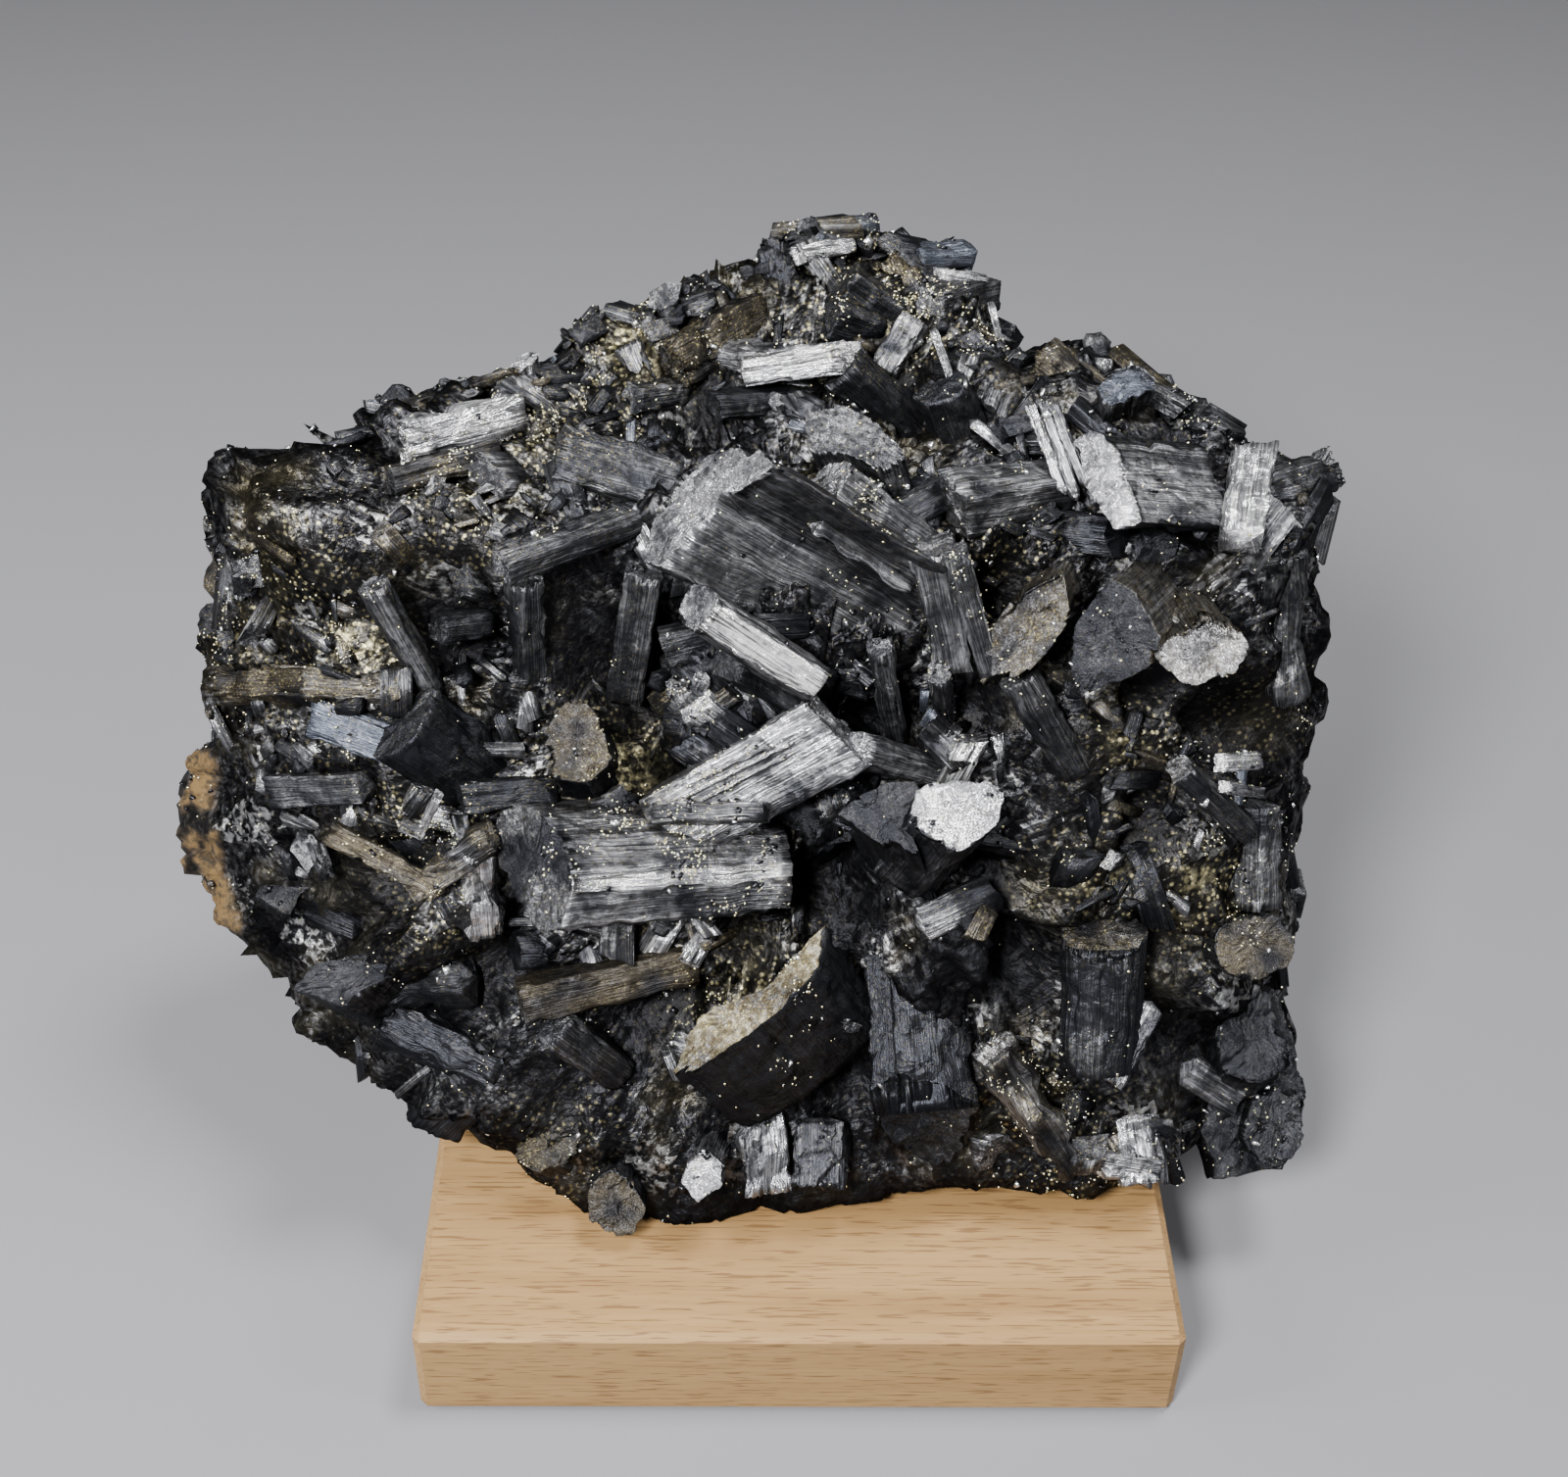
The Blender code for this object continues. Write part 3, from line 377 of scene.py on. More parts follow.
@dataclass(frozen=True)
class Eye:
    """The eye that saw the specimen: a plain camera, in metres, degrees and the photograph's pixels."""

    place: Way = (-0.0104, -0.2703, 0.3107)
    azimuth: float = -1.5
    elevation: float = 39.28
    roll: float = 1.43
    focal: float = 2300.0
    middle: Pixel = (800.0, 753.5)
    image_width: float = 1600.0
    sensor_width: float = 36.0

    def axes(self) -> tuple[Array, Array, Array]:
        """Works out which way the eye looks.

        Returns:
            The forward, right and up unit directions.
        """
        azimuth, elevation, roll = (math.radians(a) for a in (self.azimuth, self.elevation, self.roll))
        forward = -np.array((
            math.sin(azimuth) * math.cos(elevation),
            -math.cos(azimuth) * math.cos(elevation),
            math.sin(elevation),
        ))
        level = np.cross(forward, (0, 0, 1))
        level /= np.linalg.norm(level)
        upright = np.cross(level, forward)
        right = level * math.cos(roll) + upright * math.sin(roll)
        return forward, right, upright * math.cos(roll) - level * math.sin(roll)

    def pixels(self, points: Array) -> Array:
        """Projects points.

        Args:
            points: One point a row, in metres.

        Returns:
            Their places in the photograph, one pixel a row.
        """
        forward, right, up = self.axes()
        seen = points - np.array(self.place)
        ahead = seen @ forward
        return np.stack([
            self.middle[0] + self.focal * (seen @ right) / ahead,
            self.middle[1] - self.focal * (seen @ up) / ahead,
        ], axis=-1)

    def sights(self, pixels: Array) -> Array:
        """Turns pixels into lines of sight.

        Args:
            pixels: One pixel a row.

        Returns:
            Unit directions from the eye, one a row.
        """
        forward, right, up = self.axes()
        offset = (pixels - np.array(self.middle)) / self.focal
        lines = forward + offset[:, :1] * right - offset[:, 1:] * up
        return lines / np.linalg.norm(lines, axis=1, keepdims=True)

    def camera(self) -> bpy.types.Object:
        """Makes the scene's camera out of this eye.

        Returns:
            The camera, which the scene now uses.
        """
        data = bpy.data.cameras.new("camera")
        data.sensor_width = self.sensor_width
        data.lens = self.focal * self.sensor_width / self.image_width
        data.clip_start = 0.01
        camera = bpy.data.objects.new("camera", data)
        forward, right, up = self.axes()
        turned = np.eye(4)
        turned[:3, 0], turned[:3, 1], turned[:3, 2], turned[:3, 3] = right, up, -forward, self.place
        camera.matrix_world = Matrix(turned)
        bpy.context.scene.collection.objects.link(camera)
        bpy.context.scene.camera = camera
        return camera


def unit(vectors: Array) -> Array:
    """Scales each row to length one."""
    return vectors / np.maximum(np.linalg.norm(vectors, axis=-1, keepdims=True), 1e-12)


def beside(spots: Array, tip: Pixel, tail: Pixel) -> Array:
    """Measures how far each pixel lies from the line between two others.

    Args:
        spots: One pixel a row.
        tip: One end of the line.
        tail: The other end.

    Returns:
        A distance in pixels for each.
    """
    way = np.array(tail) - np.array(tip)
    share = np.clip((spots - np.array(tip)) @ way / (way @ way), 0, 1)
    return np.linalg.norm(spots - np.array(tip) - share[:, None] * way, axis=1)


def waves(points: Array, lengths: Sequence[float], seed: int, folded: bool = False) -> Array:
    """Adds waves that cross at odd angles: sin(2 pi p.h / length + phase), three of each length.

    Args:
        points: One point a row, in metres.
        lengths: The wave lengths, in metres.
        seed: Chooses the headings and phases.
        folded: Takes 1 - 2 |sin| instead, which gives creased ridges.

    Returns:
        A height from about -1 to 1 for each point.
    """
    chance = np.random.RandomState(seed)
    height = np.zeros(len(points))
    for length in lengths:
        for _ in range(3):
            heading = unit(chance.normal(size=3))
            wave = np.sin(points @ heading * 2 * math.pi / length + chance.uniform(0, 6.28))
            height += (1 - 2 * np.abs(wave)) if folded else wave
    return height / (len(lengths) * 3)


def facets(points: Array, cell: float, seed: int) -> tuple[Array, Array]:
    """Breaks space into cells round scattered seeds, each with a flat tilted top.

    Every cell of a lattice holds one seed. A point belongs to the nearest of the 27 seeds round
    it, and its height is that seed's own offset plus the seed's tilt times the way to it.

    Args:
        points: One point a row, in metres.
        cell: Size of the lattice's cells, in metres.
        seed: Chooses the seeds.

    Returns:
        A height from about -1 to 1 for each point, and its seed's own three numbers from 0 to 1.
    """
    chance = np.random.RandomState(seed)
    span = 32
    tint = chance.uniform(size=(span, span, span, 3))
    spot = chance.uniform(0.1, 0.9, (span, span, span, 3))
    tilt = chance.uniform(-0.8, 0.8, (span, span, span, 3))
    offset = chance.uniform(-0.6, 0.6, (span, span, span))
    scaled = points / cell
    corner = np.floor(scaled).astype(int)
    nearest = np.full(len(points), np.inf)
    height = np.zeros(len(points))
    own = np.zeros((len(points), 3))
    for step in np.ndindex(3, 3, 3):
        lattice = corner + np.array(step) - 1
        i, j, k = (lattice % span).T
        away = scaled - lattice - spot[i, j, k]
        distance = np.sum(away**2, axis=1)
        closer = distance < nearest
        nearest = np.where(closer, distance, nearest)
        height = np.where(closer, offset[i, j, k] + np.sum(tilt[i, j, k] * away, axis=1), height)
        own = np.where(closer[:, None], tint[i, j, k], own)
    return height, own


@dataclass(frozen=True)
class StoneForm:
    """The cluster's body as a reach from its centre: outline, broken faces, lumps and hollows.

    The outline is the specimen's edge in the photograph, clockwise, in pixels. Each broken face is
    an outward direction and a point on it in mm. Each hollow is a middle and a radius in pixels,
    and a depth in mm. Each boss, a rounded pillar or ledge, is two ends and a radius in pixels,
    and a height in mm. Creases are cell sizes in metres, each with its share of the roughness.
    """

    eye: Eye = field(default_factory=Eye)
    centre: Way = (-0.002, 0.012, 0.075)
    foot: float = 0.0193
    far: float = 0.2
    edge_sharpness: float = 40.0
    lump_height: float = 0.0069
    lump_lengths: tuple[float, ...] = (0.046, 0.033, 0.024, 0.018, 0.014, 0.011)
    creases: tuple[tuple[float, float], ...] = ((0.0125, 1.0), (0.0065, 0.62), (0.0033, 0.34))
    outline: tuple[Pixel, ...] = (
        (216, 585), (236, 500), (250, 474), (312, 460), (360, 440), (392, 414), (446, 412), (486, 388),
        (530, 388), (584, 354), (612, 328), (668, 310), (706, 296), (764, 282), (804, 256), (852, 238),
        (886, 230), (926, 242), (966, 268), (990, 298), (1018, 328), (1040, 356), (1088, 362),
        (1136, 388), (1188, 408), (1236, 436), (1292, 458), (1326, 476), (1350, 502), (1346, 548),
        (1335, 624), (1330, 700), (1322, 790), (1312, 870), (1306, 940), (1300, 1010), (1308, 1060),
        (1322, 1104), (1328, 1140), (1316, 1184), (1282, 1202), (1196, 1218), (1128, 1234),
        (1060, 1250), (960, 1248), (860, 1238), (760, 1238), (690, 1246), (640, 1254), (594, 1240),
        (552, 1216), (518, 1180), (474, 1152), (424, 1150), (376, 1122), (318, 1084), (272, 1042),
        (250, 996), (238, 950), (210, 888), (194, 840), (192, 800), (202, 772), (224, 752), (216, 700),
        (222, 640),
    )
    faces: tuple[tuple[Way, Way], ...] = (
        ((0.0, -0.92, 0.39), (0, -17, 70)),
        ((0.0, -0.36, 0.93), (0, 30, 133)),
        ((-0.60, -0.78, 0.20), (-76, -6, 70)),
        ((0.70, -0.69, 0.20), (72, -9, 70)),
        ((-0.99, 0.10, 0.05), (-100, 15, 75)),
        ((0.99, 0.12, 0.02), (96, 15, 75)),
        ((0.03, 0.99, 0.12), (0, 76, 90)),
        ((-0.46, 0.88, 0.10), (-66, 44, 80)),
        ((0.56, 0.82, 0.08), (64, 42, 80)),
        ((0.0, 0.0, -1.0), (0, 0, 16.5)),
        ((0.10, -0.72, -0.69), (0, -38, 22)),
        ((-0.50, -0.05, -0.87), (-52, 0, 17)),
        ((0.42, -0.05, -0.91), (56, 0, 17)),
        ((0.0, 0.62, -0.78), (0, 56, 17)),
    )
    hollows: Spots = (
        ((606, 640), 66, 20), ((668, 790), 34, 14), ((862, 915), 54, 22), ((1036, 1005), 54, 24),
        ((1200, 975), 40, 22), ((1206, 1070), 46, 22), ((658, 1045), 44, 22), ((868, 1096), 44, 19),
        ((490, 985), 44, 15), ((370, 915), 54, 17), ((440, 1060), 62, 15), ((1028, 596), 28, 17),
        ((1088, 650), 24, 14), ((1180, 840), 36, 19), ((905, 735), 46, 13), ((440, 620), 54, 12),
        ((930, 400), 34, 7), ((1010, 900), 36, 7), ((1268, 740), 42, 11), ((1180, 705), 26, 12),
        ((640, 730), 40, 10), ((770, 960), 36, 11), ((560, 1110), 40, 11), ((1010, 720), 30, 9),
        ((720, 420), 40, 6), ((920, 350), 26, 6), ((1300, 510), 20, 8),
    )
    bosses: tuple[tuple[Pixel, Pixel, float, float], ...] = (
        ((938, 940), (955, 1180), 50, 10), ((1092, 770), (1068, 900), 50, 5),
        ((462, 1056), (592, 1144), 42, 4), ((256, 500), (345, 560), 48, 3.5),
        ((330, 1004), (440, 966), 34, 6), ((1282, 1020), (1292, 1180), 50, 9),
        ((1010, 1080), (1100, 1196), 32, 7), ((690, 1236), (1050, 1238), 20, 3),
        ((250, 840), (285, 1000), 44, 2.5), ((300, 1050), (410, 1110), 40, 3),
        ((560, 1185), (620, 1230), 34, 4), ((1150, 1210), (1290, 1180), 30, 3),
    )

    def shades(self) -> Spots:
        """Gives the hollows, and the places of painted shade that aren't sunk, as spots of painted shade."""
        return tuple((middle, radius * 1.1, 1.0) for middle, radius, _ in self.hollows) + PAINTED_SHADE_PLACES

    def outline_reach(self, directions: Array) -> Array:
        """Finds how far each direction runs before it leaves the outline, by halving a span.

        A point is inside while its distance from the centre's pixel is less than the outline's at
        the same bearing.

        Args:
            directions: Unit directions from the centre, one a row.

        Returns:
            A reach in metres for each.
        """
        middle = self.eye.pixels(np.array([self.centre]))[0]
        offsets = np.array(self.outline) - middle
        bearings = np.arctan2(offsets[:, 1], offsets[:, 0])
        order = np.argsort(bearings)
        bearings, radii = bearings[order], np.hypot(offsets[:, 0], offsets[:, 1])[order]
        near, far = np.zeros(len(directions)), np.full(len(directions), self.far)
        for _ in range(20):
            half = (near + far) / 2
            offset = self.eye.pixels(np.array(self.centre) + directions * half[:, None]) - middle
            bearing = np.arctan2(offset[:, 1], offset[:, 0])
            inside = np.hypot(offset[:, 0], offset[:, 1]) < np.interp(
                bearing, bearings, radii, period=2 * math.pi
            )
            near, far = np.where(inside, half, near), np.where(inside, far, half)
        return near

    def plain_reach(self, directions: Array) -> Array:
        """Takes the soft least of the outline and the broken faces, and adds the lumps.

        Args:
            directions: Unit directions from the centre, one a row.

        Returns:
            The stone's reach in each, in metres: (sum of reach ** -k) ** (-1 / k), plus lumps.
        """
        reaches = [self.outline_reach(directions)]
        for normal, point in self.faces:
            outward = unit(np.array(normal))
            leaving = directions @ outward
            distance = (np.array(point) * MM - np.array(self.centre)) @ outward
            reaches.append(np.where(leaving > 1e-3, distance / np.maximum(leaving, 1e-3), self.far))
        inverse = sum(np.maximum(reach, 1e-3) ** -self.edge_sharpness for reach in reaches)
        reach = inverse ** (-1 / self.edge_sharpness)
        return reach + self.lump_height * waves(self.at(directions, reach), self.lump_lengths, 7)

    def at(self, directions: Array, reach: Array) -> Array:
        """Puts points at a reach from the centre."""
        return np.array(self.centre) + directions * reach[:, None]

    def surface(self, directions: Array, rough: float = 0.0) -> Array:
        """Finds the stone's surface: hollows sunk, creases added, and the foot cut flat.

        Args:
            directions: Unit directions from the centre, one a row.
            rough: Height of the fine creases, in metres.

        Returns:
            Surface points, one a row.
        """
        reach = self.plain_reach(directions)
        spots = self.eye.pixels(self.at(directions, reach))
        facing = np.clip(-(directions @ self.eye.axes()[0]) * 2.5, 0, 1)
        for middle, radius, depth in self.hollows:
            away = np.linalg.norm(spots - np.array(middle), axis=1) / radius
            reach = reach - depth * MM * facing * np.exp(-(away**4))
        for tip, tail, radius, height in self.bosses:
            away = beside(spots, tip, tail) / radius
            reach = reach + height * MM * facing * np.exp(-(away**4))
        if rough:
            points = self.at(directions, reach)
            for cell, share in self.creases:
                calm = np.clip((points[:, 2] - self.foot) / 0.02, 0.35, 1)
                calm = calm * (1 - 0.6 * np.clip(directions[:, 0] * 4 - 2.6, 0, 1))
                reach = reach + rough * share * calm * facets(points, cell, int(cell * 1e5))[0]
        points = self.at(directions, reach)
        points[:, 2] = np.maximum(points[:, 2], self.foot)
        return points

    def normals(self, directions: Array) -> Array:
        """Finds outward normals by stepping a little along two tangents.

        Args:
            directions: Unit directions from the centre, one a row.

        Returns:
            (one step's way) x (the other step's way), scaled to length one.
        """
        first = unit(np.cross(directions, np.array((0.31, 0.17, 0.94))))
        second = np.cross(directions, first)
        step = 0.03
        here = self.surface(directions)
        one = self.surface(unit(directions + step * first)) - here
        other = self.surface(unit(directions + step * second)) - here
        return unit(np.cross(one, other))

    def meet(self, pixels: Array, rises: Array) -> Array:
        """Finds where sight lines first meet the plain stone, or pass nearest to it.

        Args:
            pixels: One pixel a row.
            rises: How far each point stands proud of the stone, in mm.

        Returns:
            One point a row, in metres.
        """
        start = np.array(self.eye.place)
        lines = self.eye.sights(pixels)
        steps = np.arange(0.24, 0.48, 0.001)
        spokes = start + lines[:, None, :] * steps[None, :, None] - np.array(self.centre)
        lengths = np.linalg.norm(spokes, axis=2)
        reach = self.plain_reach((spokes / lengths[..., None]).reshape(-1, 3)).reshape(lengths.shape)
        depth = lengths / reach
        hit = np.where((depth < 1).any(axis=1), np.argmax(depth < 1, axis=1), np.argmin(depth, axis=1))
        return start + lines * (steps[hit] - rises * MM)[:, None]


@dataclass
class Shape:
    """A mesh as arrays: points, triangles, and its named values per point or per triangle."""

    points: Array
    triangles: Array
    point_values: dict[str, Array] = field(default_factory=dict)
    triangle_values: dict[str, Array] = field(default_factory=dict)

    def piece(self, name: str, material: bpy.types.Material, slot: str, node: str) -> bpy.types.Object:
        """Makes the mesh object, clipped to the node's box, hangs it on the body that it rides on, and hides
        the frame's node that it stands for.

        Args:
            name: The piece's name.
            material: Its finish.
            slot: Not used.
            node: The frame's node that it stands for.

        Returns:
            The new object, at the origin.
        """
        low, high = (np.array(corner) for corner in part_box(node))
        points = np.clip(self.points, low, high)
        mesh = bpy.data.meshes.new(name)
        mesh.vertices.add(len(points))
        mesh.vertices.foreach_set("co", points.astype(np.float32).ravel())
        mesh.loops.add(self.triangles.size)
        mesh.loops.foreach_set("vertex_index", self.triangles.astype(np.int32).ravel())
        mesh.polygons.add(len(self.triangles))
        mesh.polygons.foreach_set("loop_start", np.arange(0, self.triangles.size, 3, dtype=np.int32))
        for values, domain in ((self.point_values, "POINT"), (self.triangle_values, "FACE")):
            for key, rows in values.items():
                made = mesh.attributes.new(key, "FLOAT_VECTOR", domain)
                made.data.foreach_set("vector", rows.astype(np.float32).ravel())
        mesh.update(calc_edges=True)
        mesh.validate()
        mesh.materials.append(material)
        thing = bpy.data.objects.new(name, mesh)
        bpy.context.scene.collection.objects.link(thing)
        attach(thing, BODY)
        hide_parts(node)
        LOG.info("%s: %d triangles", name, len(self.triangles))
        return thing


def joined(shapes: Sequence[Shape]) -> Shape:
    """Puts the points and triangles of several shapes into one, without their named values.

    Args:
        shapes: The shapes, in order.

    Returns:
        One shape.
    """
    offsets = np.cumsum([0] + [len(shape.points) for shape in shapes[:-1]])
    return Shape(
        np.concatenate([shape.points for shape in shapes]),
        np.concatenate([shape.triangles + offset for shape, offset in zip(shapes, offsets)]),
    )


def tube_triangles(rings: int, around: int) -> Array:
    """Lists the triangles of rings of points with a point closing each end.

    Point 0 closes the first ring, and the last point closes the last. Turning from ring to ring,
    each cell of the grid gives two triangles, and each end is a fan.

    Args:
        rings: How many rings there are.
        around: How many points a ring has.

    Returns:
        Triangles as rows of three point numbers, facing outwards for points that turn
        anticlockwise about the way from the first end to the last.
    """
    turn = np.arange(around)
    after = (turn + 1) % around
    base = 1 + np.arange(rings - 1)[:, None] * around
    low, low_next = base + turn, base + after
    high, high_next = low + around, low_next + around
    sides = np.stack([
        np.stack([low, low_next, high_next], axis=-1), np.stack([low, high_next, high], axis=-1)
    ], axis=2).reshape(-1, 3)
    first = np.stack([np.zeros_like(turn), after + 1, turn + 1], axis=-1)
    edge = 1 + (rings - 1) * around
    last = np.stack([np.full_like(turn, edge + around), edge + turn, edge + after], axis=-1)
    return np.concatenate([first, sides, last])


@dataclass(frozen=True)
class Cut:
    """How finely one group of crystals is shaped.

    around is the points round each section and rings the rings along each crystal, and cap_rings
    more lie in the tip's face. groove is the grooves' depth, as a share of the section. jag is the
    roughness of the tip's face, and chip is how far the sides and edges are knocked about, both
    in metres.
    """

    around: int
    rings: int
    cap_rings: int
    groove: float
    jag: float
    chip: float = 0.0


@dataclass
class Growth:
    """Many crystals as arrays, one row each: ends, side direction, section, and how they look."""

    tips: Array
    tails: Array
    sides: Array
    sections: Array
    corners: Array
    slants: Array
    looks: Array
    caps: Array
    tones: Array
    seed: int = 1

    def axes(self) -> tuple[Array, Array, Array, Array]:
        """Works out each crystal's own directions.

        Returns:
            The way from tip to tail, its length, and the side and outward directions.
        """
        step = self.tails - self.tips
        length = np.linalg.norm(step, axis=1)
        axis = step / length[:, None]
        side = unit(self.sides - axis * np.sum(self.sides * axis, axis=1, keepdims=True))
        return axis, length, side, np.cross(axis, side)

    def placed(self, across: Array, behind: Array, down: Array) -> Array:
        """Puts points at tip + axis down + side across + outward behind."""
        axis, _, side, outward = self.axes()
        return (
            self.tips[:, None, None, :] + axis[:, None, None, :] * down[..., None]
            + side[:, None, None, :] * across[..., None]
            + outward[:, None, None, :] * behind[..., None]
        )

    def outline(self, around: int) -> tuple[Array, Array, Array]:
        """Spaces points along the straight edges between each section's corners.

        Args:
            around: Points round each section.

        Returns:
            Their (across, behind), each one's share of the way along its edge, and the girths.
        """
        corner = np.arange(around)[None, :] * self.corners[:, None] / around
        first = np.floor(corner).astype(int)
        share = corner - first
        rows = np.arange(len(self.tips))[:, None]
        here = self.sections[rows, first]
        onward = self.sections[rows, (first + 1) % self.corners[:, None]]
        section = here * (1 - share[..., None]) + onward * share[..., None]
        return section, share, np.linalg.norm(onward - here, axis=2).sum(axis=1) * self.corners / around

    def thinning(self, cut: Cut, along: Array, chance: np.random.RandomState) -> Array:
        """Works out what the grooves and the broken laths leave of each section.

        The grooves are waves |sin(cycles / 2 turn + phase)| that hold all the way along, so they
        run lengthwise. A lath is a narrow stretch of the section, sunk in the part near the tip.

        Args:
            cut: How finely the crystals are shaped.
            along: Each ring's share of the way from tip to tail.
            chance: The random draws.

        Returns:
            A share of the section for each point of each ring.
        """
        count = len(self.tips)
        turn = np.arange(cut.around)[None, :] / cut.around * 2 * math.pi
        grooves = np.zeros((count, cut.around))
        for cycles in GROOVE_CYCLES:
            phase = chance.uniform(0, 6.28, (count, 1))
            grooves += np.abs(np.sin(cycles / 2 * turn + phase)) * chance.uniform(0.3, 1, (count, 1))
        grooves = cut.groove * (grooves / 2.0 + 0.6 * chance.uniform(-1, 1, (count, cut.around)))
        broken_from = chance.uniform(0, 1, (count, 1, 1))
        broken_to = broken_from + chance.uniform(0.05, 0.2, (count, 1, 1))
        spot = np.arange(cut.around)[None, None, :] / cut.around
        lath = (spot > broken_from) & (spot < broken_to) & (along[None, :, None] < LATH_REACH)
        return 1 - LATH_DEPTH * lath * (cut.groove > 0) - grooves[:, None, :]

    def weathered(
        self, cut: Cut, spots: tuple[Array, Array, Array], share: Array, scale: Array, in_face: Array,
        chance: np.random.RandomState,
    ) -> tuple[Array, Array, Array]:
        """Breaks the tip's face into tilted facets, and knocks the sides and edges about.

        Args:
            cut: How finely the crystals are shaped.
            spots: Each point's way across, behind and down.
            share: Each point's share of the way along its edge of the section.
            scale: Each ring's size, which is less than one inside the tip's face.
            in_face: Which rings lie in the tip's face.
            chance: The random draws.

        Returns:
            The three ways, changed.
        """
        across, behind, down = spots
        places = self.placed(across, behind, down).reshape(-1, 3)
        coarse = facets(places, cut.jag * 6, 3)[0].reshape(across.shape)
        down = down + in_face * cut.jag * (coarse + chance.uniform(-0.15, 0.15, across.shape))
        if cut.chip:
            dents = facets(places, DENT_SIZE, 9)[0].reshape(across.shape)
            near_edge = np.abs(2 * share - 1)[:, None, :] ** 5
            worn = cut.chip * dents * 0.55 - EDGE_WEAR * near_edge * np.clip(coarse + 0.3, 0, 1)
            size = np.maximum(np.hypot(across, behind), 1e-5)
            grown = 1 + worn / size * (scale[None, :, None] > 0.98)
            across, behind = across * grown, behind * grown
        return across, behind, down

    def finish_values(self, cut: Cut, triangles: Array, ends: Array) -> Array:
        """Gives each triangle its look: toned facet by facet, partly with painted highlight and shade,
        dusted on top, and darkened by painted shade in the caves.

        Args:
            cut: How finely the crystals are shaped.
            triangles: One crystal's triangles.
            ends: Every triangle's corners, in metres.

        Returns:
            Brightness, gold and tarnish, one triangle a row.
        """
        form = StoneForm()
        place = np.maximum(triangles.min(axis=1) - 1, 0) % cut.around
        facet = (place[None, :] * self.corners[:, None] // cut.around) % MOST_CORNERS
        looks = np.repeat(self.looks[:, None, :], len(triangles), axis=1)
        # Side tones: given one by one for the fragments, where they are partly painted highlight and shade,
        # and random for the rest.
        looks[..., 0] *= self.tones[np.arange(len(self.tips))[:, None], facet]
        looks[:, triangles.max(axis=1) <= cut.cap_rings * cut.around] = self.caps[:, None, :]
        looks = looks.reshape(-1, 3)
        rising = unit(np.cross(ends[:, 1] - ends[:, 0], ends[:, 2] - ends[:, 0]))[:, 2]
        middles = ends.mean(axis=1)
        dusted = share_at(GOLD_PLACES, middles, form) * np.clip(rising * 1.4 - 0.1, 0, 1)
        looks[:, 1] = np.clip(looks[:, 1] + SETTLED_GOLD * dusted, 0, 1)
        # Painted shade: strewn crystals are darkened in the hollows and the shaded places.
        if not cut.chip:
            looks[:, 0] *= 1 - CAVE_SHADE * share_at(form.shades(), middles, form)
        return looks

    def shape(self, cut: Cut) -> Shape:
        """Grows every crystal as a striated prism, its tip's face tilted by the slant and jagged.

        Args:
            cut: How finely the crystals are shaped.

        Returns:
            One shape with values grain, for lengthwise streaks, and look, for the finish.
        """
        count = len(self.tips)
        chance = np.random.RandomState(self.seed)
        axis, length, _, _ = self.axes()
        section, share, girth = self.outline(cut.around)
        cap = np.append(np.linspace(0, RIM, max(cut.cap_rings, 1))[1:], 1.0)
        scale = np.concatenate([cap, np.ones(cut.rings - 1)])
        along = np.concatenate([np.zeros(len(cap)), np.linspace(0, 1, cut.rings)[1:]])
        thinner = self.thinning(cut, along, chance)
        taper = 1 - 0.08 * along[None, :, None]
        flat = section[:, None, :, :] * (scale[None, :, None] * taper * thinner)[..., None]
        across, behind = flat[..., 0], flat[..., 1]
        tilt = self.slants[:, :1, None] * across + self.slants[:, 1:, None] * behind
        in_face = (along < 1e-6)[None, :, None]
        down = along[None, :, None] * length[:, None, None] + in_face * tilt
        if cut.jag:
            spots = (across, behind, down)
            across, behind, down = self.weathered(cut, spots, share, scale, in_face, chance)
        ring_points = self.placed(across, behind, down)
        points = np.concatenate([
            ring_points[:, 0].mean(axis=1)[:, None], ring_points.reshape(count, -1, 3),
            (self.tails + axis * MM)[:, None],
        ], axis=1)

        grain = np.zeros(points.shape)
        around_mm = np.arange(cut.around) / cut.around * girth[:, None] / MM
        grain[:, 1:-1, 0] = np.repeat(around_mm[:, None], len(scale), axis=1).reshape(count, -1)
        grain[:, 1:-1, 1] = (down / MM).reshape(count, -1)
        if cut.cap_rings:
            rings = cut.cap_rings - 1
            inner = slice(1, 1 + rings * cut.around)
            grain[:, inner, 0] = (across[:, :rings] / MM).reshape(count, -1)
            grain[:, inner, 1] = (behind[:, :rings] / MM / GRAIN_DRAW).reshape(count, -1)
        grain[:, :, 2] = chance.uniform(0, 500, (count, 1))

        triangles = tube_triangles(len(scale), cut.around)
        offsets = (np.arange(count) * (2 + len(scale) * cut.around))[:, None, None]
        every = (triangles[None] + offsets).reshape(-1, 3)
        points = points.reshape(-1, 3)
        looks = self.finish_values(cut, triangles, points[every])
        return Shape(points, every, {"grain": grain.reshape(-1, 3)}, {"look": looks})


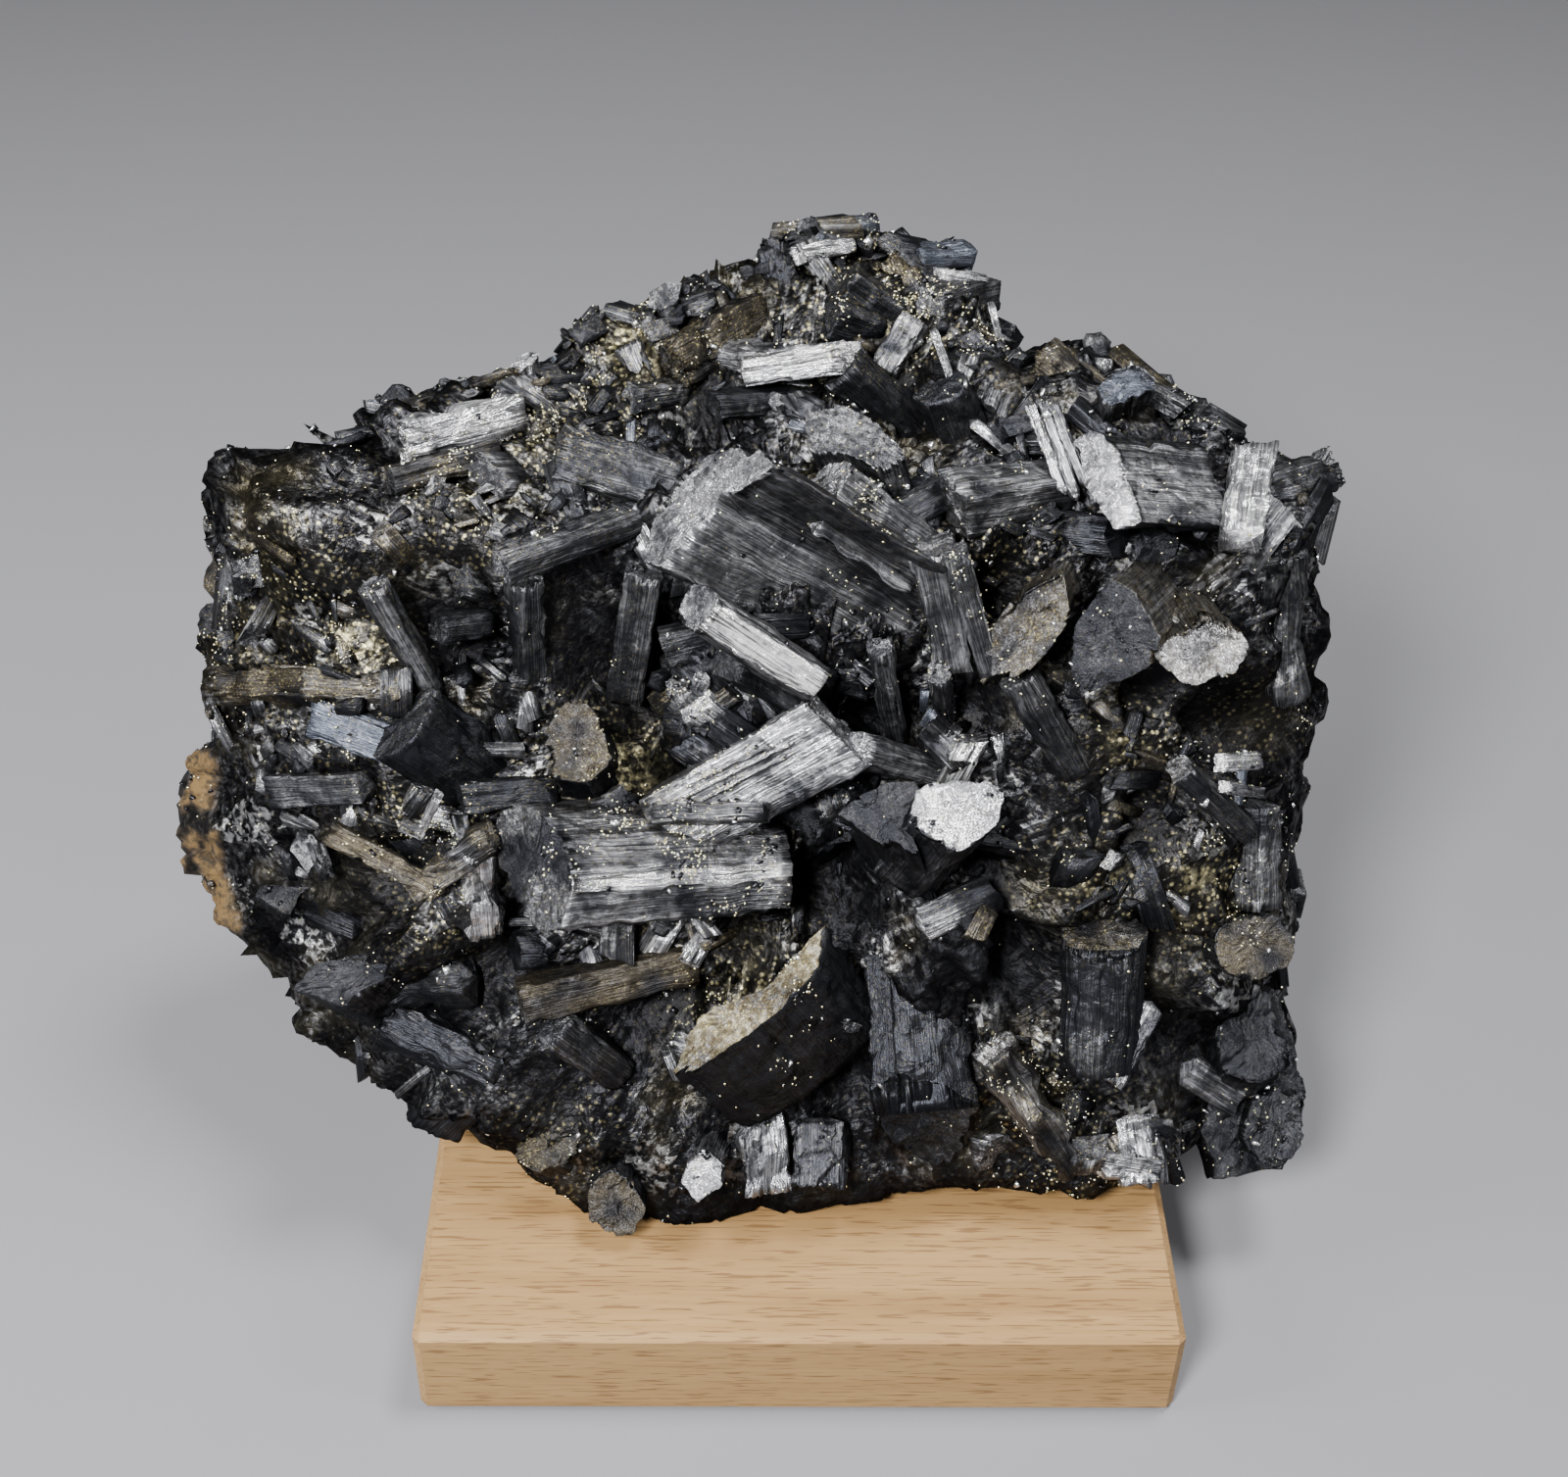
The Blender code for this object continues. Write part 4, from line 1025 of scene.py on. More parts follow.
def growth_of(crystals: Sequence[Crystal], form: StoneForm, seed: int) -> Growth:
    """Places the photograph's crystals on the stone.

    Args:
        crystals: Their table.
        form: The stone that carries them.
        seed: Chooses their grooves and tones.

    Returns:
        The crystals as arrays.
    """
    tips = form.meet(np.array([c.tip for c in crystals]), np.array([c.tip_rise for c in crystals]))
    tails = form.meet(np.array([c.tail for c in crystals]), np.array([c.tail_rise for c in crystals]))
    depths = np.array([c.depth for c in crystals]) * MM
    axis = unit(tails - tips)
    side = unit(np.cross(axis, np.array(form.eye.place) - tips))
    roll = np.radians([c.roll for c in crystals])[:, None]
    side = side * np.cos(roll) + np.cross(axis, side) * np.sin(roll)
    inward = form.eye.axes()[0] * depths[:, None] * 0.38
    stretches = np.ones((len(crystals), MOST_CORNERS))
    for row, crystal in enumerate(crystals):
        chance = random.Random(crystal.name)
        stretches[row, : crystal.sides] = [chance.uniform(0.86, 1.08) for _ in range(crystal.sides)]
    sides = np.array([c.sides for c in crystals])
    return Growth(
        tips + inward, tails + inward + axis * 2 * MM, side,
        plain_sections(np.array([c.width for c in crystals]) * MM, depths, sides, stretches),
        sides, np.array([c.slant for c in crystals]), look_rows([c.look for c in crystals]),
        look_rows([c.cap or c.look for c in crystals]),
        np.random.RandomState(seed).uniform(0.45, 1.15, (len(crystals), MOST_CORNERS)), seed,
    )


def plain_sections(widths: Array, depths: Array, corners: Array, stretches: Array) -> Array:
    """Draws the corners of upright sections: squares, or polygons inside the width and depth.

    Args:
        widths: Width of each crystal, in metres.
        depths: Depth of each.
        corners: How many corners each has.
        stretches: How far each corner is moved out, eight to a row.

    Returns:
        Corners as (across, behind), eight to a row.
    """
    square = (corners == 4)[:, None]
    turns = np.arange(MOST_CORNERS) / corners[:, None]
    bearing = turns * 2 * math.pi + np.where(square, math.pi / 4, 0.0)
    spread = np.where(square, math.sqrt(2), 1.08) * stretches / 2
    return np.stack([
        np.cos(bearing) * spread * widths[:, None], np.sin(bearing) * spread * depths[:, None]
    ], axis=-1)


def growth_of_fragments(fragments: Sequence[Fragment], form: StoneForm, seed: int) -> Growth:
    """Places the crystals whose end faces are read corner by corner.

    Each corner's sight line is cut with the plane of the face, and the section is the face seen
    along the crystal's axis. For a plane with normal n, the tip's face runs down the axis by
    -(across side.n + behind outward.n) / axis.n, which gives the slants.

    Args:
        fragments: Their table.
        form: The stone that carries them.
        seed: Chooses their grooves.

    Returns:
        The crystals as arrays.
    """
    forward, right, up = form.eye.axes()
    middles = np.array([np.mean(fragment.face, axis=0) for fragment in fragments])
    middle_points = form.meet(middles, np.array([fragment.rise for fragment in fragments]))
    rows = []
    for fragment, middle in zip(fragments, middle_points):
        normal = unit(np.array(fragment.turned) @ np.stack([right, up, -forward]))
        start = np.array(form.eye.place)
        lines = form.eye.sights(np.array(fragment.face, float))
        corners = start + lines * ((middle - start) @ normal / (lines @ normal))[:, None]
        tip = corners.mean(axis=0)
        metres_a_pixel = (tip - start) @ forward / form.eye.focal
        run = (right * fragment.run[0] - up * fragment.run[1]) * metres_a_pixel
        tail = tip + run + forward * fragment.into * MM
        axis = unit(tail - tip)
        side = unit(np.cross(axis, start - tip))
        outward = np.cross(axis, side)
        flat = np.stack([(corners - tip) @ side, (corners - tip) @ outward], axis=-1)
        tones = np.array(fragment.tones[: len(flat)])
        after = np.roll(flat, -1, axis=0)
        if np.sum(flat[:, 0] * after[:, 1] - flat[:, 1] * after[:, 0]) < 0:
            flat = flat[::-1]
            tones = np.roll(tones[::-1], -1)
        spare = MOST_CORNERS - len(flat)
        slant = -np.array((side @ normal, outward @ normal)) / (axis @ normal)
        rows.append((
            tip, tail, side, np.pad(flat, ((0, spare), (0, 0))), len(flat), slant, np.pad(tones, (0, spare)),
        ))
    tips, tails, sides, sections, counts, slants, tones = (np.array(column) for column in zip(*rows))
    return Growth(
        tips, tails, sides, sections, counts, slants, look_rows([f.look for f in fragments]),
        look_rows([f.cap for f in fragments]), tones, seed,
    )


def look_rows(looks: Sequence[Look]) -> Array:
    """Packs looks as rows: brightness, gold dust, and tarnish from -1, blue, to 1, brown."""
    return np.array([(bright, gold, brown - blue) for bright, gold, brown, blue in (k.value for k in looks)])


@dataclass
class Litter:
    """Small crystals strewn over the whole stone, in bundles that lie nearly alongside.

    width, length and lift, how far a tip stands proud, are least and most, in mm. lean is how far
    they stand up from the stone. in_hollows and on_bosses are the shares that stay there.
    """

    form: StoneForm
    count: int
    width: tuple[float, float]
    length: tuple[float, float]
    lift: tuple[float, float]
    seed: int
    lean: float = 0.6
    in_hollows: float = 0.07
    on_bosses: float = 0.05

    def kept(self, roots: Array, directions: Array, chance: np.random.RandomState) -> Array:
        """Clears the large crystals and thins the hollows, as the eye sees them.

        A root is cleared where its pixel lies within half a width of a large crystal's length.

        Args:
            roots: Where the crystals would stand.
            directions: Their directions from the stone's centre.
            chance: The random draws.

        Returns:
            True for each root that stays.
        """
        spots = self.form.eye.pixels(roots)
        seen = directions @ self.form.eye.axes()[0] < -0.1
        glimpsed = directions @ self.form.eye.axes()[0] < 0.35
        draw = chance.uniform(size=len(roots))
        kept = np.ones(len(roots), bool)
        for crystal in GREAT_CRYSTALS + LUMPS + LESSER_CRYSTALS:
            away = beside(spots, crystal.tip, crystal.tail)
            kept &= (away > crystal.width * PIXELS_A_MM / 2) | ~seen
        for fragment in FRAGMENTS:
            corners = np.array(fragment.face)
            middle = corners.mean(axis=0)
            far_end = middle + np.array(fragment.run)
            reach = np.linalg.norm(corners - middle, axis=1).mean()
            kept &= (beside(spots, tuple(middle), tuple(far_end)) > reach) | ~seen
        for tip, tail, radius, _ in self.form.bosses:
            kept &= (beside(spots, tip, tail) > radius) | ~seen | (draw < self.on_bosses)
        for places, share in ((self.form.hollows, self.in_hollows), (BARE_PLACES, self.on_bosses)):
            for middle, radius, _ in places:
                inside = np.linalg.norm(spots - np.array(middle), axis=1) < radius * 0.9
                kept &= ~inside | ~glimpsed | (draw < share)
        return kept

    def growth(self) -> Growth:
        """Strews the crystals.

        Roots lie on the stone in directions drawn evenly over a ball. Each axis mixes the outward
        normal with a random tangent, and the tip stands proud of the stone by the lift.

        Returns:
            The crystals as arrays.
        """
        chance = np.random.RandomState(self.seed)
        directions = unit(chance.normal(size=(self.count, 3)))
        directions = directions[directions[:, 2] > -0.62]
        roots = self.form.surface(directions)
        kept = self.kept(roots, directions, chance)
        directions, roots = directions[kept], roots[kept]
        count = len(directions)
        normals = self.form.normals(directions)
        bundles = facets(roots, 0.013, 21)[1] - 0.5
        loose = chance.normal(0, 0.16, (count, 3)) * np.where(chance.uniform(size=(count, 1)) < 0.3, 6, 1)
        tangents = unit(np.cross(normals, bundles + loose))
        grazing = (np.abs(normals @ self.form.eye.axes()[0]) < 0.35) | (normals[:, 0] > 0.6)
        up = np.abs(chance.normal(0, 1, (count, 1))) * self.lean * np.where(grazing, 0.3, 1.0)[:, None]
        axis = unit(normals * up + tangents)
        corners = chance.choice((4, 4, 6), count)
        widths = chance.uniform(*self.width, count) * MM
        lengths = chance.uniform(*self.length, count) * MM
        lifts = (chance.uniform(*self.lift, count) - np.where(grazing, 1.0, 0.0)) * MM
        tips = roots + normals * lifts[:, None] + axis * lengths[:, None] * 0.35
        kinds = chance.choice(len(LITTER_LOOKS), count, p=[share for _, share in LITTER_LOOKS])
        looks = look_rows([look for look, _ in LITTER_LOOKS])[kinds]
        looks = looks * chance.uniform(0.6, 1.3, (count, 1))
        depths = widths * chance.uniform(0.5, 1.0, count)
        return Growth(
            tips, tips - axis * lengths[:, None], np.cross(axis, normals),
            plain_sections(widths, depths, corners, chance.uniform(0.8, 1.1, (count, MOST_CORNERS))),
            corners, chance.uniform(-0.5, 0.5, (count, 2)), looks, looks * 0.8,
            chance.uniform(0.4, 1.5, (count, MOST_CORNERS)), self.seed,
        )


# How the strewn crystals look, and the share of each.
LITTER_LOOKS = (
    (Look.DARK, 0.48), (Look.STRIATED, 0.29), (Look.GREY, 0.08), (Look.SILVER, 0.025),
    (Look.BLUE, 0.015), (Look.OLIVE, 0.11),
)

# Soft round places as a pixel, a radius in pixels and a strength: where pyrite lies thick, where the
# body is pale, where shade is painted (in caves, and darker towards the bottom), and where it
# rusts. In the bare places only the radius counts, and little is strewn there.
GOLD_PLACES: Spots = (
    ((640, 800), 80, 1.0), ((700, 860), 70, 0.6), ((360, 655), 50, 0.9), ((228, 645), 28, 1.0),
    ((1120, 890), 50, 1.0), ((1220, 918), 60, 1.0), ((760, 1015), 60, 0.9), ((1050, 1120), 50, 1.0),
    ((560, 1180), 50, 0.8), ((1272, 730), 45, 0.7), ((1150, 760), 50, 0.8), ((900, 310), 90, 0.7),
    ((640, 360), 70, 0.8), ((560, 420), 70, 0.6), ((430, 850), 60, 0.7), ((300, 590), 60, 0.6),
    ((870, 520), 60, 0.5), ((1000, 570), 60, 0.5), ((480, 520), 70, 0.6), ((770, 940), 50, 0.7),
    ((450, 940), 50, 0.5), ((1050, 650), 40, 0.6), ((330, 700), 80, 0.5), ((1130, 1190), 80, 0.5),
)
PALE_PLACES: Spots = (
    ((290, 520), 80, 0.6), ((290, 940), 55, 0.7), ((1300, 630), 55, 0.5), ((1275, 1060), 36, 0.8),
    ((350, 990), 50, 0.6), ((330, 850), 60, 0.4), ((1130, 1190), 60, 0.6), ((560, 1050), 40, 0.5),
    ((860, 470), 50, 0.3), ((720, 330), 60, 0.3), ((345, 585), 22, 0.9), ((262, 548), 16, 0.9),
)
# Painted shade where the hollows don't reach, and darker towards the bottom.
PAINTED_SHADE_PLACES: Spots = (
    ((1265, 725), 62, 0.9), ((450, 1040), 80, 0.9), ((370, 1000), 50, 0.6), ((940, 1070), 90, 0.8),
    ((1040, 1000), 60, 1.0), ((1200, 1080), 60, 0.9), ((860, 900), 60, 0.9), ((540, 1140), 60, 0.7),
    ((650, 1050), 50, 0.9), ((1310, 1150), 60, 0.7), ((420, 760), 50, 0.5), ((620, 650), 70, 0.8),
    ((960, 1230), 300, 0.5),
)
BARE_PLACES: Spots = (
    ((205, 860), 95, 0), ((232, 930), 60, 0), ((285, 1010), 80, 0), ((400, 1095), 90, 0),
    ((520, 1190), 70, 0),
    ((1325, 640), 50, 0), ((1330, 1090), 60, 0), ((650, 1230), 60, 0), ((290, 520), 70, 0),
    ((1200, 1220), 50, 0), ((1340, 860), 40, 0), ((1310, 760), 50, 0), ((1260, 720), 50, 0),
    ((450, 1030), 90, 0), ((620, 1060), 60, 0), ((940, 1060), 100, 0), ((1030, 1000), 66, 0),
    ((1200, 1040), 80, 0), ((870, 930), 60, 0), ((190, 800), 70, 0),
)
RUST_PLACES: Spots = (
    ((190, 790), 34, 1.0), ((186, 820), 34, 1.0), ((190, 850), 34, 1.0), ((198, 880), 32, 1.0),
    ((210, 912), 30, 0.9), ((224, 945), 26, 0.8), ((236, 975), 22, 0.7),
)


def share_at(places: Spots, points: Array, form: StoneForm, wrap: float = 0.4) -> Array:
    """Adds soft spots, strength * exp(-(distance / radius) ** 2), on what faces the eye.

    Args:
        places: Each a pixel, a radius in pixels and a strength.
        points: One point a row.
        form: The stone, whose eye sees the spots.
        wrap: How far the spots reach round to the sides.

    Returns:
        A share from 0 to 1 for each point.
    """
    spots = form.eye.pixels(points)
    facing = np.clip(-(unit(points - np.array(form.centre)) @ form.eye.axes()[0]) * 3 + wrap, 0, 1)
    share = np.zeros(len(points))
    for middle, radius, strength in places:
        away = np.linalg.norm(spots - np.array(middle), axis=1) / radius
        share = np.maximum(share, strength * np.exp(-(away**2)))
    return share * facing


@dataclass
class StoneBody:
    """The rough dark mass that carries the crystals."""

    form: StoneForm
    around: int = 430
    rings: int = 214
    rough: float = 0.0030

    def shape(self) -> Shape:
        """Draws a ball of points out to the stone's surface, ring by ring up from its foot.

        A ring at height h on the ball has the radius sqrt(1 - h ** 2).

        Returns:
            The body, with per-point values for gold, rust and painted shade (below zero where the body is
            pale), and lay (a random heading a cell).
        """
        rise = -np.cos(np.linspace(0, math.pi, self.rings + 2))
        ring = np.sqrt(np.maximum(1 - rise**2, 0))
        turn = np.arange(self.around) / self.around * 2 * math.pi
        inner = np.stack([
            ring[1:-1, None] * np.cos(turn), ring[1:-1, None] * np.sin(turn),
            np.repeat(rise[1:-1, None], self.around, axis=1),
        ], axis=-1).reshape(-1, 3)
        directions = np.concatenate([[(0, 0, -1.0)], inner, [(0, 0, 1.0)]])
        points = self.form.surface(directions, self.rough)
        gold = share_at(GOLD_PLACES, points, self.form)
        rust = share_at(RUST_PLACES, points, self.form, 1.6) * (points[:, 0] < -0.07)
        sunk = np.linalg.norm(self.form.at(directions, self.form.plain_reach(directions)) - points, axis=1)
        # Painted shade: darker in the hollows, within 12 mm of the foot and in the shaded places; the pale
        # places take it below zero.
        painted_shade = np.clip(sunk / 0.010, 0, 1) - share_at(PALE_PLACES, points, self.form)
        painted_shade = np.maximum(painted_shade, 1 - (points[:, 2] - self.form.foot) / 0.012)
        painted_shade = np.maximum(painted_shade, share_at(self.form.shades(), points, self.form))
        values = np.stack([gold, rust, painted_shade], axis=-1)
        triangles = tube_triangles(self.rings, self.around)
        lay = facets(points[triangles].mean(axis=1), 0.0065, 650)[1]
        return Shape(points, triangles, {"crust": values}, {"lay": lay})

    def build(self, material: bpy.types.Material) -> Shape:
        """Builds the piece.

        Args:
            material: Its finish.

        Returns:
            Its shape, for what is strewn on it.
        """
        shape = self.shape()
        shape.piece("stone_body", material, SLOT, CLUSTER)
        return shape


@dataclass
class Dust:
    """Tiny boxes half sunk in the surfaces that carry them: cubes of pyrite, or flat chips that paint
    glints.

    size is the least and most, in mm. stray is how many lie away from the gold places, beside the
    one that a full gold place has. flatness is a box's thickness, as a share of its size.
    """

    form: StoneForm
    count: int
    size: tuple[float, float]
    stray: float
    flatness: float
    seed: int

    def shape(self, carriers: Shape) -> Shape:
        """Scatters the boxes.

        Triangles are drawn with chances of area times (stray + gold share), and each box sits at
        a random place in its triangle: corner weights 1 - sqrt(a), sqrt(a)(1 - b), sqrt(a) b.

        Args:
            carriers: The surfaces that carry the grains.

        Returns:
            All the boxes in one shape.
        """
        chance = np.random.RandomState(self.seed)
        ends = carriers.points[carriers.triangles]
        cross = np.cross(ends[:, 1] - ends[:, 0], ends[:, 2] - ends[:, 0])
        middles = ends.mean(axis=1)
        weight = np.linalg.norm(cross, axis=1) * (self.stray + share_at(GOLD_PLACES, middles, self.form))
        weight *= np.clip(unit(cross)[:, 2] + 0.75, 0.05, 1.5)
        # Fewer grains and glint chips where shade is painted.
        weight *= 1.02 - share_at(self.form.shades(), middles, self.form)
        weight *= np.clip(waves(middles, (0.021, 0.009, 0.005), 4) * 2.5 + 0.35, 0.02, None) ** 2
        picked = chance.choice(len(ends), self.count, p=weight / weight.sum())
        root, swing = np.sqrt(chance.uniform(size=self.count)), chance.uniform(size=self.count)
        mixed = np.stack([1 - root, root * (1 - swing), root * swing], axis=-1)
        places = np.einsum("nk,nkd->nd", mixed, ends[picked])
        sizes = chance.uniform(*self.size, (self.count, 1, 1)) * MM
        first = unit(chance.normal(size=(self.count, 3)))
        second = unit(np.cross(first, chance.normal(size=(self.count, 3))))
        turned = np.stack([first, second, np.cross(first, second)], axis=1)
        signs = np.array([(x, y, z) for z in (-1, 1) for y in (-1, 1) for x in (-1, 1)]) / 2
        signs = signs * chance.uniform(0.7, 1.25, (self.count, 1, 3)) * (1, 1, self.flatness)
        points = places[:, None, :] + np.einsum("nks,nsd->nkd", signs, turned) * sizes
        box = np.array([
            (0, 2, 3), (0, 3, 1), (4, 5, 7), (4, 7, 6), (0, 1, 5), (0, 5, 4),
            (2, 6, 7), (2, 7, 3), (0, 4, 6), (0, 6, 2), (1, 3, 7), (1, 7, 5),
        ])
        triangles = (box[None] + (np.arange(self.count) * 8)[:, None, None]).reshape(-1, 3)
        tone = np.repeat(chance.uniform(0, 1, (self.count, 1, 3)), len(box), axis=1)
        return Shape(points.reshape(-1, 3), triangles, {}, {"look": tone.reshape(-1, 3)})


Value = Union["Wire", float]


class Wire:
    """A socket of a material's node tree that can be written in sums."""

    def __init__(self, paint: "Paint", socket: bpy.types.NodeSocket) -> None:
        """Wraps a socket.

        Args:
            paint: The material being made.
            socket: An output socket in it.
        """
        self.paint = paint
        self.socket = socket

    def _math(self, operation: str, first: Value, second: Value = 0.0) -> "Wire":
        """Adds a Math node."""
        return self.paint.node("ShaderNodeMath", {"operation": operation}, {0: first, 1: second})

    def __add__(self, other: Value) -> "Wire":
        """Adds."""
        return self._math("ADD", self, other)

    def __sub__(self, other: Value) -> "Wire":
        """Subtracts."""
        return self._math("SUBTRACT", self, other)

    def __rsub__(self, other: Value) -> "Wire":
        """Subtracts from a number."""
        return self._math("SUBTRACT", other, self)

    def __mul__(self, other: Value) -> "Wire":
        """Multiplies."""
        return self._math("MULTIPLY", self, other)

    def __pow__(self, other: Value) -> "Wire":
        """Raises to a power."""
        return self._math("POWER", self, other)

    __radd__ = __add__
    __rmul__ = __mul__

    def clamped(self) -> "Wire":
        """Keeps the value from 0 to 1."""
        return self.paint.node("ShaderNodeClamp", {}, {0: self})

    def between(self, low: float, high: float) -> "Wire":
        """Ramps from 0 at low to 1 at high, smoothly."""
        return self.paint.node(
            "ShaderNodeMapRange", {"interpolation_type": "SMOOTHSTEP"}, {0: self, 1: low, 2: high}
        )


# The middle of a cube of random numbers, taken off to make them headings.
MID_CUBE = (0.5, 0.5, 0.5)
# Metal's edge reflections, dimmed so that the floor doesn't whiten grazing faces.
DIM_EDGE = (0.4, 0.4, 0.4)


class Paint:
    """A material being made out of nodes."""

    def __init__(self, name: str) -> None:
        """Starts a material with an empty Principled shader.

        Args:
            name: The material's name.
        """
        self.material = bpy.data.materials.new(name)
        self.material.use_nodes = True
        self.tree = self.material.node_tree
        self.shader = self.tree.nodes["Principled BSDF"]

    def node(
        self, kind: str, settings: dict[str, object], sockets: dict[Union[int, str], object],
        output: Union[int, str] = 0,
    ) -> Wire:
        """Adds any node.

        Args:
            kind: The node's type.
            settings: Its properties, set first.
            sockets: Values or wires for its inputs, by number or name.
            output: The output to hand back.

        Returns:
            That output, as a wire.
        """
        made = self.tree.nodes.new(kind)
        for key, value in settings.items():
            setattr(made, key, value)
        for key, value in sockets.items():
            self.link(made.inputs[key], value)
        return Wire(self, made.outputs[output])

    def link(self, socket: bpy.types.NodeSocket, value: object) -> None:
        """Feeds a socket.

        Args:
            socket: The input.
            value: A wire, a number, a vector or a colour.
        """
        if isinstance(value, Wire):
            self.tree.links.new(value.socket, socket)
        elif isinstance(value, tuple) and socket.type == "RGBA":
            socket.default_value = (*value, 1.0)
        else:
            socket.default_value = value

    def set(self, **sockets: object) -> None:
        """Feeds the shader's own sockets, named with underscores for spaces."""
        for key, value in sockets.items():
            self.link(self.shader.inputs[key.replace("_", " ")], value)

    def place(self) -> Wire:
        """Gives the point on the object, in metres."""
        return self.node("ShaderNodeTexCoord", {}, {}, "Object")

    def own(self, name: str) -> Wire:
        """Gives one of the mesh's own vector values."""
        return self.node("ShaderNodeAttribute", {"attribute_name": name}, {}, "Vector")

    def parts(self, vector: Wire) -> tuple[Wire, Wire, Wire]:
        """Takes a vector apart."""
        first = self.node("ShaderNodeSeparateXYZ", {}, {0: vector})
        outputs = first.socket.node.outputs
        return first, Wire(self, outputs[1]), Wire(self, outputs[2])

    def vector(
        self, operation: str, first: object, second: object = (0.0, 0.0, 0.0), output: Union[int, str] = 0
    ) -> Wire:
        """Adds a Vector Math node."""
        sockets = {0: first, 1: second}
        return self.node("ShaderNodeVectorMath", {"operation": operation}, sockets, output)

    def stretched(self, vector: Wire, scale: Way) -> Wire:
        """Scales a vector along each axis."""
        return self.vector("MULTIPLY", vector, scale)

    def noise(self, vector: Wire, scale: float, detail: float = 3.0, distortion: float = 0.0) -> Wire:
        """Gives soft noise from 0 to 1."""
        sockets = {"Vector": vector, "Scale": scale, "Detail": detail, "Distortion": distortion}
        return self.node("ShaderNodeTexNoise", {}, sockets, 0)

    def cells(self, vector: Wire, scale: float, output: str = "Distance") -> Wire:
        """Gives the distance to the nearest of scattered points, or that point's colour."""
        return self.node("ShaderNodeTexVoronoi", {}, {"Vector": vector, "Scale": scale}, output)

    def mix(self, share: Value, first: object, second: object) -> Wire:
        """Mixes two colours."""
        return self.node("ShaderNodeMix", {"data_type": "RGBA"}, {0: share, 6: first, 7: second}, 2)

    def drawn_along(self, place: Wire, lay: Wire, share: float) -> Wire:
        """Squeezes places along a heading, so noise at them runs in streaks: p - share d (p.d).

        Args:
            place: The place p.
            lay: Three random numbers from 0 to 1, which give the heading d.
            share: How much of the way along d is taken off.

        Returns:
            The squeezed place.
        """
        heading = self.vector("NORMALIZE", self.vector("SUBTRACT", lay, MID_CUBE))
        along = self.vector("DOT_PRODUCT", place, heading, "Value")
        return self.vector("SUBTRACT", place, self.vector("MULTIPLY", heading, along * share))

    def glitter(self, place: Wire, scale: float, amount: float, under: Union[Wire, None] = None) -> Wire:
        """Tilts the surface's normal at random in every cell of a fine mosaic, so grains flash.

        Args:
            place: The place.
            scale: Cells in a metre.
            amount: How far the normal is tilted.
            under: The normal to tilt, where it isn't the surface's own.

        Returns:
            The tilted normal.
        """
        tint = self.cells(place, scale, "Color")
        tilt = self.stretched(self.vector("SUBTRACT", tint, MID_CUBE), (amount, amount, amount))
        flat = under or self.node("ShaderNodeNewGeometry", {}, {}, "Normal")
        return self.vector("NORMALIZE", self.vector("ADD", flat, tilt))

    def bump(self, height: Wire, strength: float, distance: float, under: Union[Wire, None] = None) -> Wire:
        """Turns a height into a normal.

        Args:
            height: The height, from 0 to 1.
            strength: The bump's strength.
            distance: What a height of one stands for, in metres.
            under: The normal that it goes on, if any.

        Returns:
            The bumped normal.
        """
        sockets = {"Height": height, "Strength": strength, "Distance": distance}
        if under is not None:
            sockets["Normal"] = under
        return self.node("ShaderNodeBump", {}, sockets, 0)


